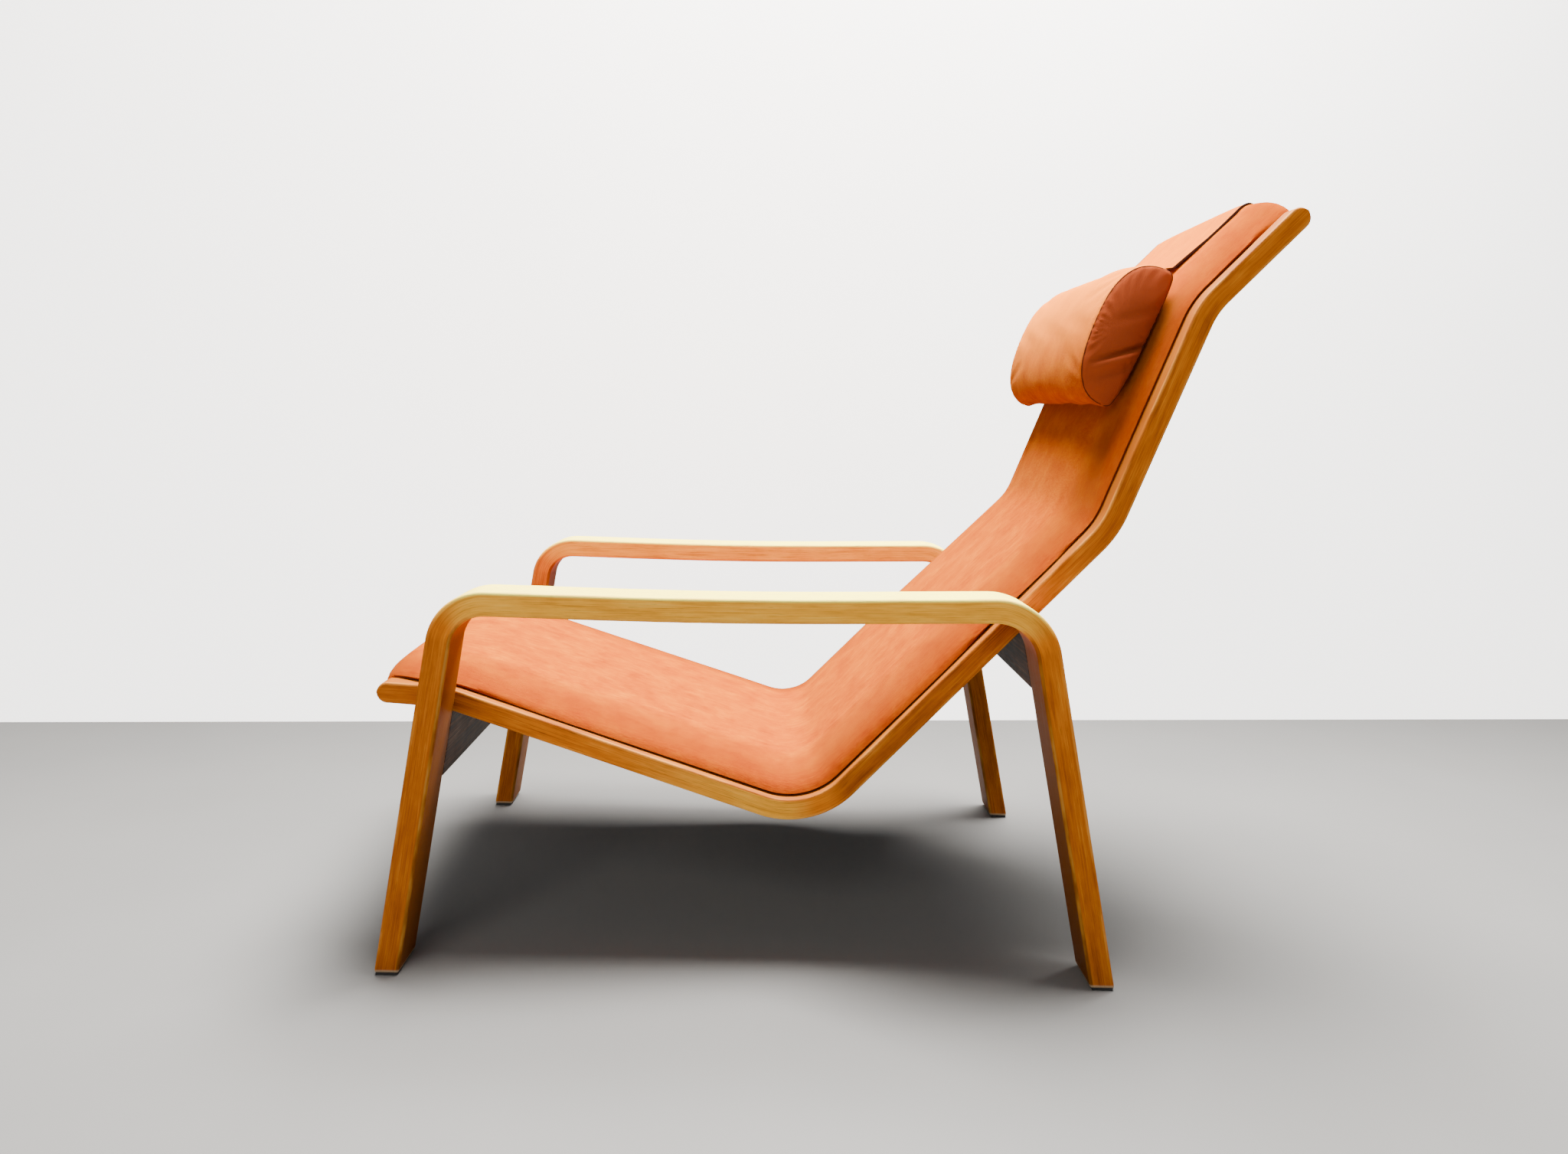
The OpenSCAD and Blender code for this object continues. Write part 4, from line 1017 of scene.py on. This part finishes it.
# Flap: a wide band of the felt, sewn to the top of the head cushion. It lies over the pad,
# goes round its top end, and is held behind by press studs. Dark leather binds both its edges.
flap_half = pad_half - 0.084 - 0.004
flap_gap = 0.0005
flap_thick = 0.002
flap_lift = 0.003
flap_low = 1.2706
flap_down = 1.325
flap_top = 1.3400
tail_runs = (1.2678, 1.2878)
leather = Finish("edge_leather", Specular_IOR_Level=0.15)
leather_place = leather.place()
leather_grain = leather.node("ShaderNodeTexVoronoi", {}, {"Vector": leather_place, "Scale": 900.0})
leather_cloud = leather.noise(leather_place, 90.0, 3.0)
leather_colour = leather.mix(leather_cloud, (0.022, 0.009, 0.005), (0.060, 0.024, 0.013))
leather.wear(leather_colour, 0.45 + 0.25 * leather_cloud, leather_grain, 0.0002)


def flap_over(x, grow):
    points = []
    for s in np.linspace(flap_low + 0.0002, flap_top, 14):
        points.append((s, pad_height(s, x) + grow + flap_lift * max(0.0, flap_down - s) / 0.055))
    points += [pad_end(1, x, grow, a) for a in np.radians(np.linspace(90, 16, 12))]
    reach = grow - lip_level
    points += [(rail_length + reach * cos(a), reach * sin(a)) for a in np.radians(np.linspace(-28, -90, 7))]
    return [rail_point(x, s, n)[1:] for s, n in points]


def flap_front(x, grow):
    low = on_back(x, cushion_up + cushion_height / 2 + 0.0025, cushion_rest + 0.008 + grow)
    high = rail_point(x, flap_low, pad_height(flap_low, x) + flap_gap + flap_lift + grow)
    return [tuple(a + (b - a) * t for a, b in zip(low[1:], high[1:])) for t in np.linspace(0, 1, 10).tolist()]


def flap_rear(x, grow):
    rear_runs = np.linspace(rail_length - 0.0002, tail_runs[1] + 0.0001, 14)
    return [rail_point(x, s, lip_level - flap_gap - grow)[1:] for s in rear_runs]


def banded(name, line, columns, low, high, finish):
    """A closed band between two surfaces, each given as lines in Y and Z over columns of X."""
    points, nap = [], []
    for x in columns:
        held = min(abs(x), flap_half)
        ring = line(held, high) + line(held, low)[::-1]
        points += [(x, *p) for p in ring]
        # The third value, -0.3, pales the flap's felt with a painted sheen; the leather's finish does not
        # read it.
        nap += [(p[0] + p[1], x, -0.3) for p in ring]
    return new_piece(name, points, ring_faces(len(columns), len(ring)), finish, 40, nap=nap)


flap_columns = flap_half * np.sin(np.radians(np.linspace(-90, 90, 31)))
binding_columns = flap_half + np.array((0, 0.0008, 0.0016))
for name, line, level, node, flat in [
    ("flap_on_pad", flap_over, flap_gap, "flap_over_top", (0.296, 0.170)),
    ("flap_to_cushion", flap_front, 0.0, "flap_front", (0.296, 0.033)),
    ("flap_behind", flap_rear, 0.0, "flap_rear", (0.296, 0.079)),
]:
    flap = banded(name, line, flap_columns, level, level + flap_thick, felt)
    binding_left, binding_right = [
        banded(name + edge, line, columns, level - 0.0002, level + flap_thick + 0.0003, leather)
        for edge, columns in [("_edge_left", binding_columns), ("_edge_right", -binding_columns[::-1])]
    ]
    ends = line(0, 0)
    for piece in (flap, binding_left, binding_right):
        if name == "flap_on_pad":
            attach(piece, "chair")
        elif name == "flap_to_cushion":
            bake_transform(piece)
        else:
            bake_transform(piece)
    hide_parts(node)
    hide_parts(node + "_binding")


# Tail band and press studs: a leather band on the flap's end, with five steel caps that snap
# onto posts in the top panel. Three rows of posts give three heights of the head cushion.
band_half = flap_half + 0.004
band_inner = lip_level - flap_gap
band_outer = band_inner - flap_thick
band_columns = np.linspace(-band_half, band_half, 25)
band_runs = np.linspace(*tail_runs, 9)
band_round = 0.0007 * (1 - np.sqrt(np.clip(1 - np.abs(np.linspace(-1, 1, 9)) ** 6, 0, 1)))
band_points = []
for x in band_columns:
    band_points += [rail_point(x, s, band_outer + r) for s, r in zip(band_runs, band_round)]
    band_points += [rail_point(x, s, band_inner - 0.0001) for s in band_runs[::-1]]
band_faces = ring_faces(len(band_columns), 2 * len(band_runs))
tail_leather = new_piece("tail_leather", band_points, band_faces, leather, 50)
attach(tail_leather, "flap_tail")
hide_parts("tail_band")

cap_profile = [(0.0052, 0.0), (0.0055, -0.0003), (0.0053, -0.0007)]
cap_profile += [(0.0042, -0.0010), (0.0022, -0.0011), (0.0006, -0.0011)]
cap = turned_piece("cap", cap_profile, 20, zinc)
stud_room = flap_half - 0.028
stud_run = sum(tail_runs) / 2
stud_places = [rail_point(stud_room * k / 2, stud_run, band_outer) for k in range(-2, 3)]
caps = repeated("stud_cap_row", stud_places, [rail_tilt(stud_run)] * 5, cap, zinc, "flap_tail")
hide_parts("stud_caps")
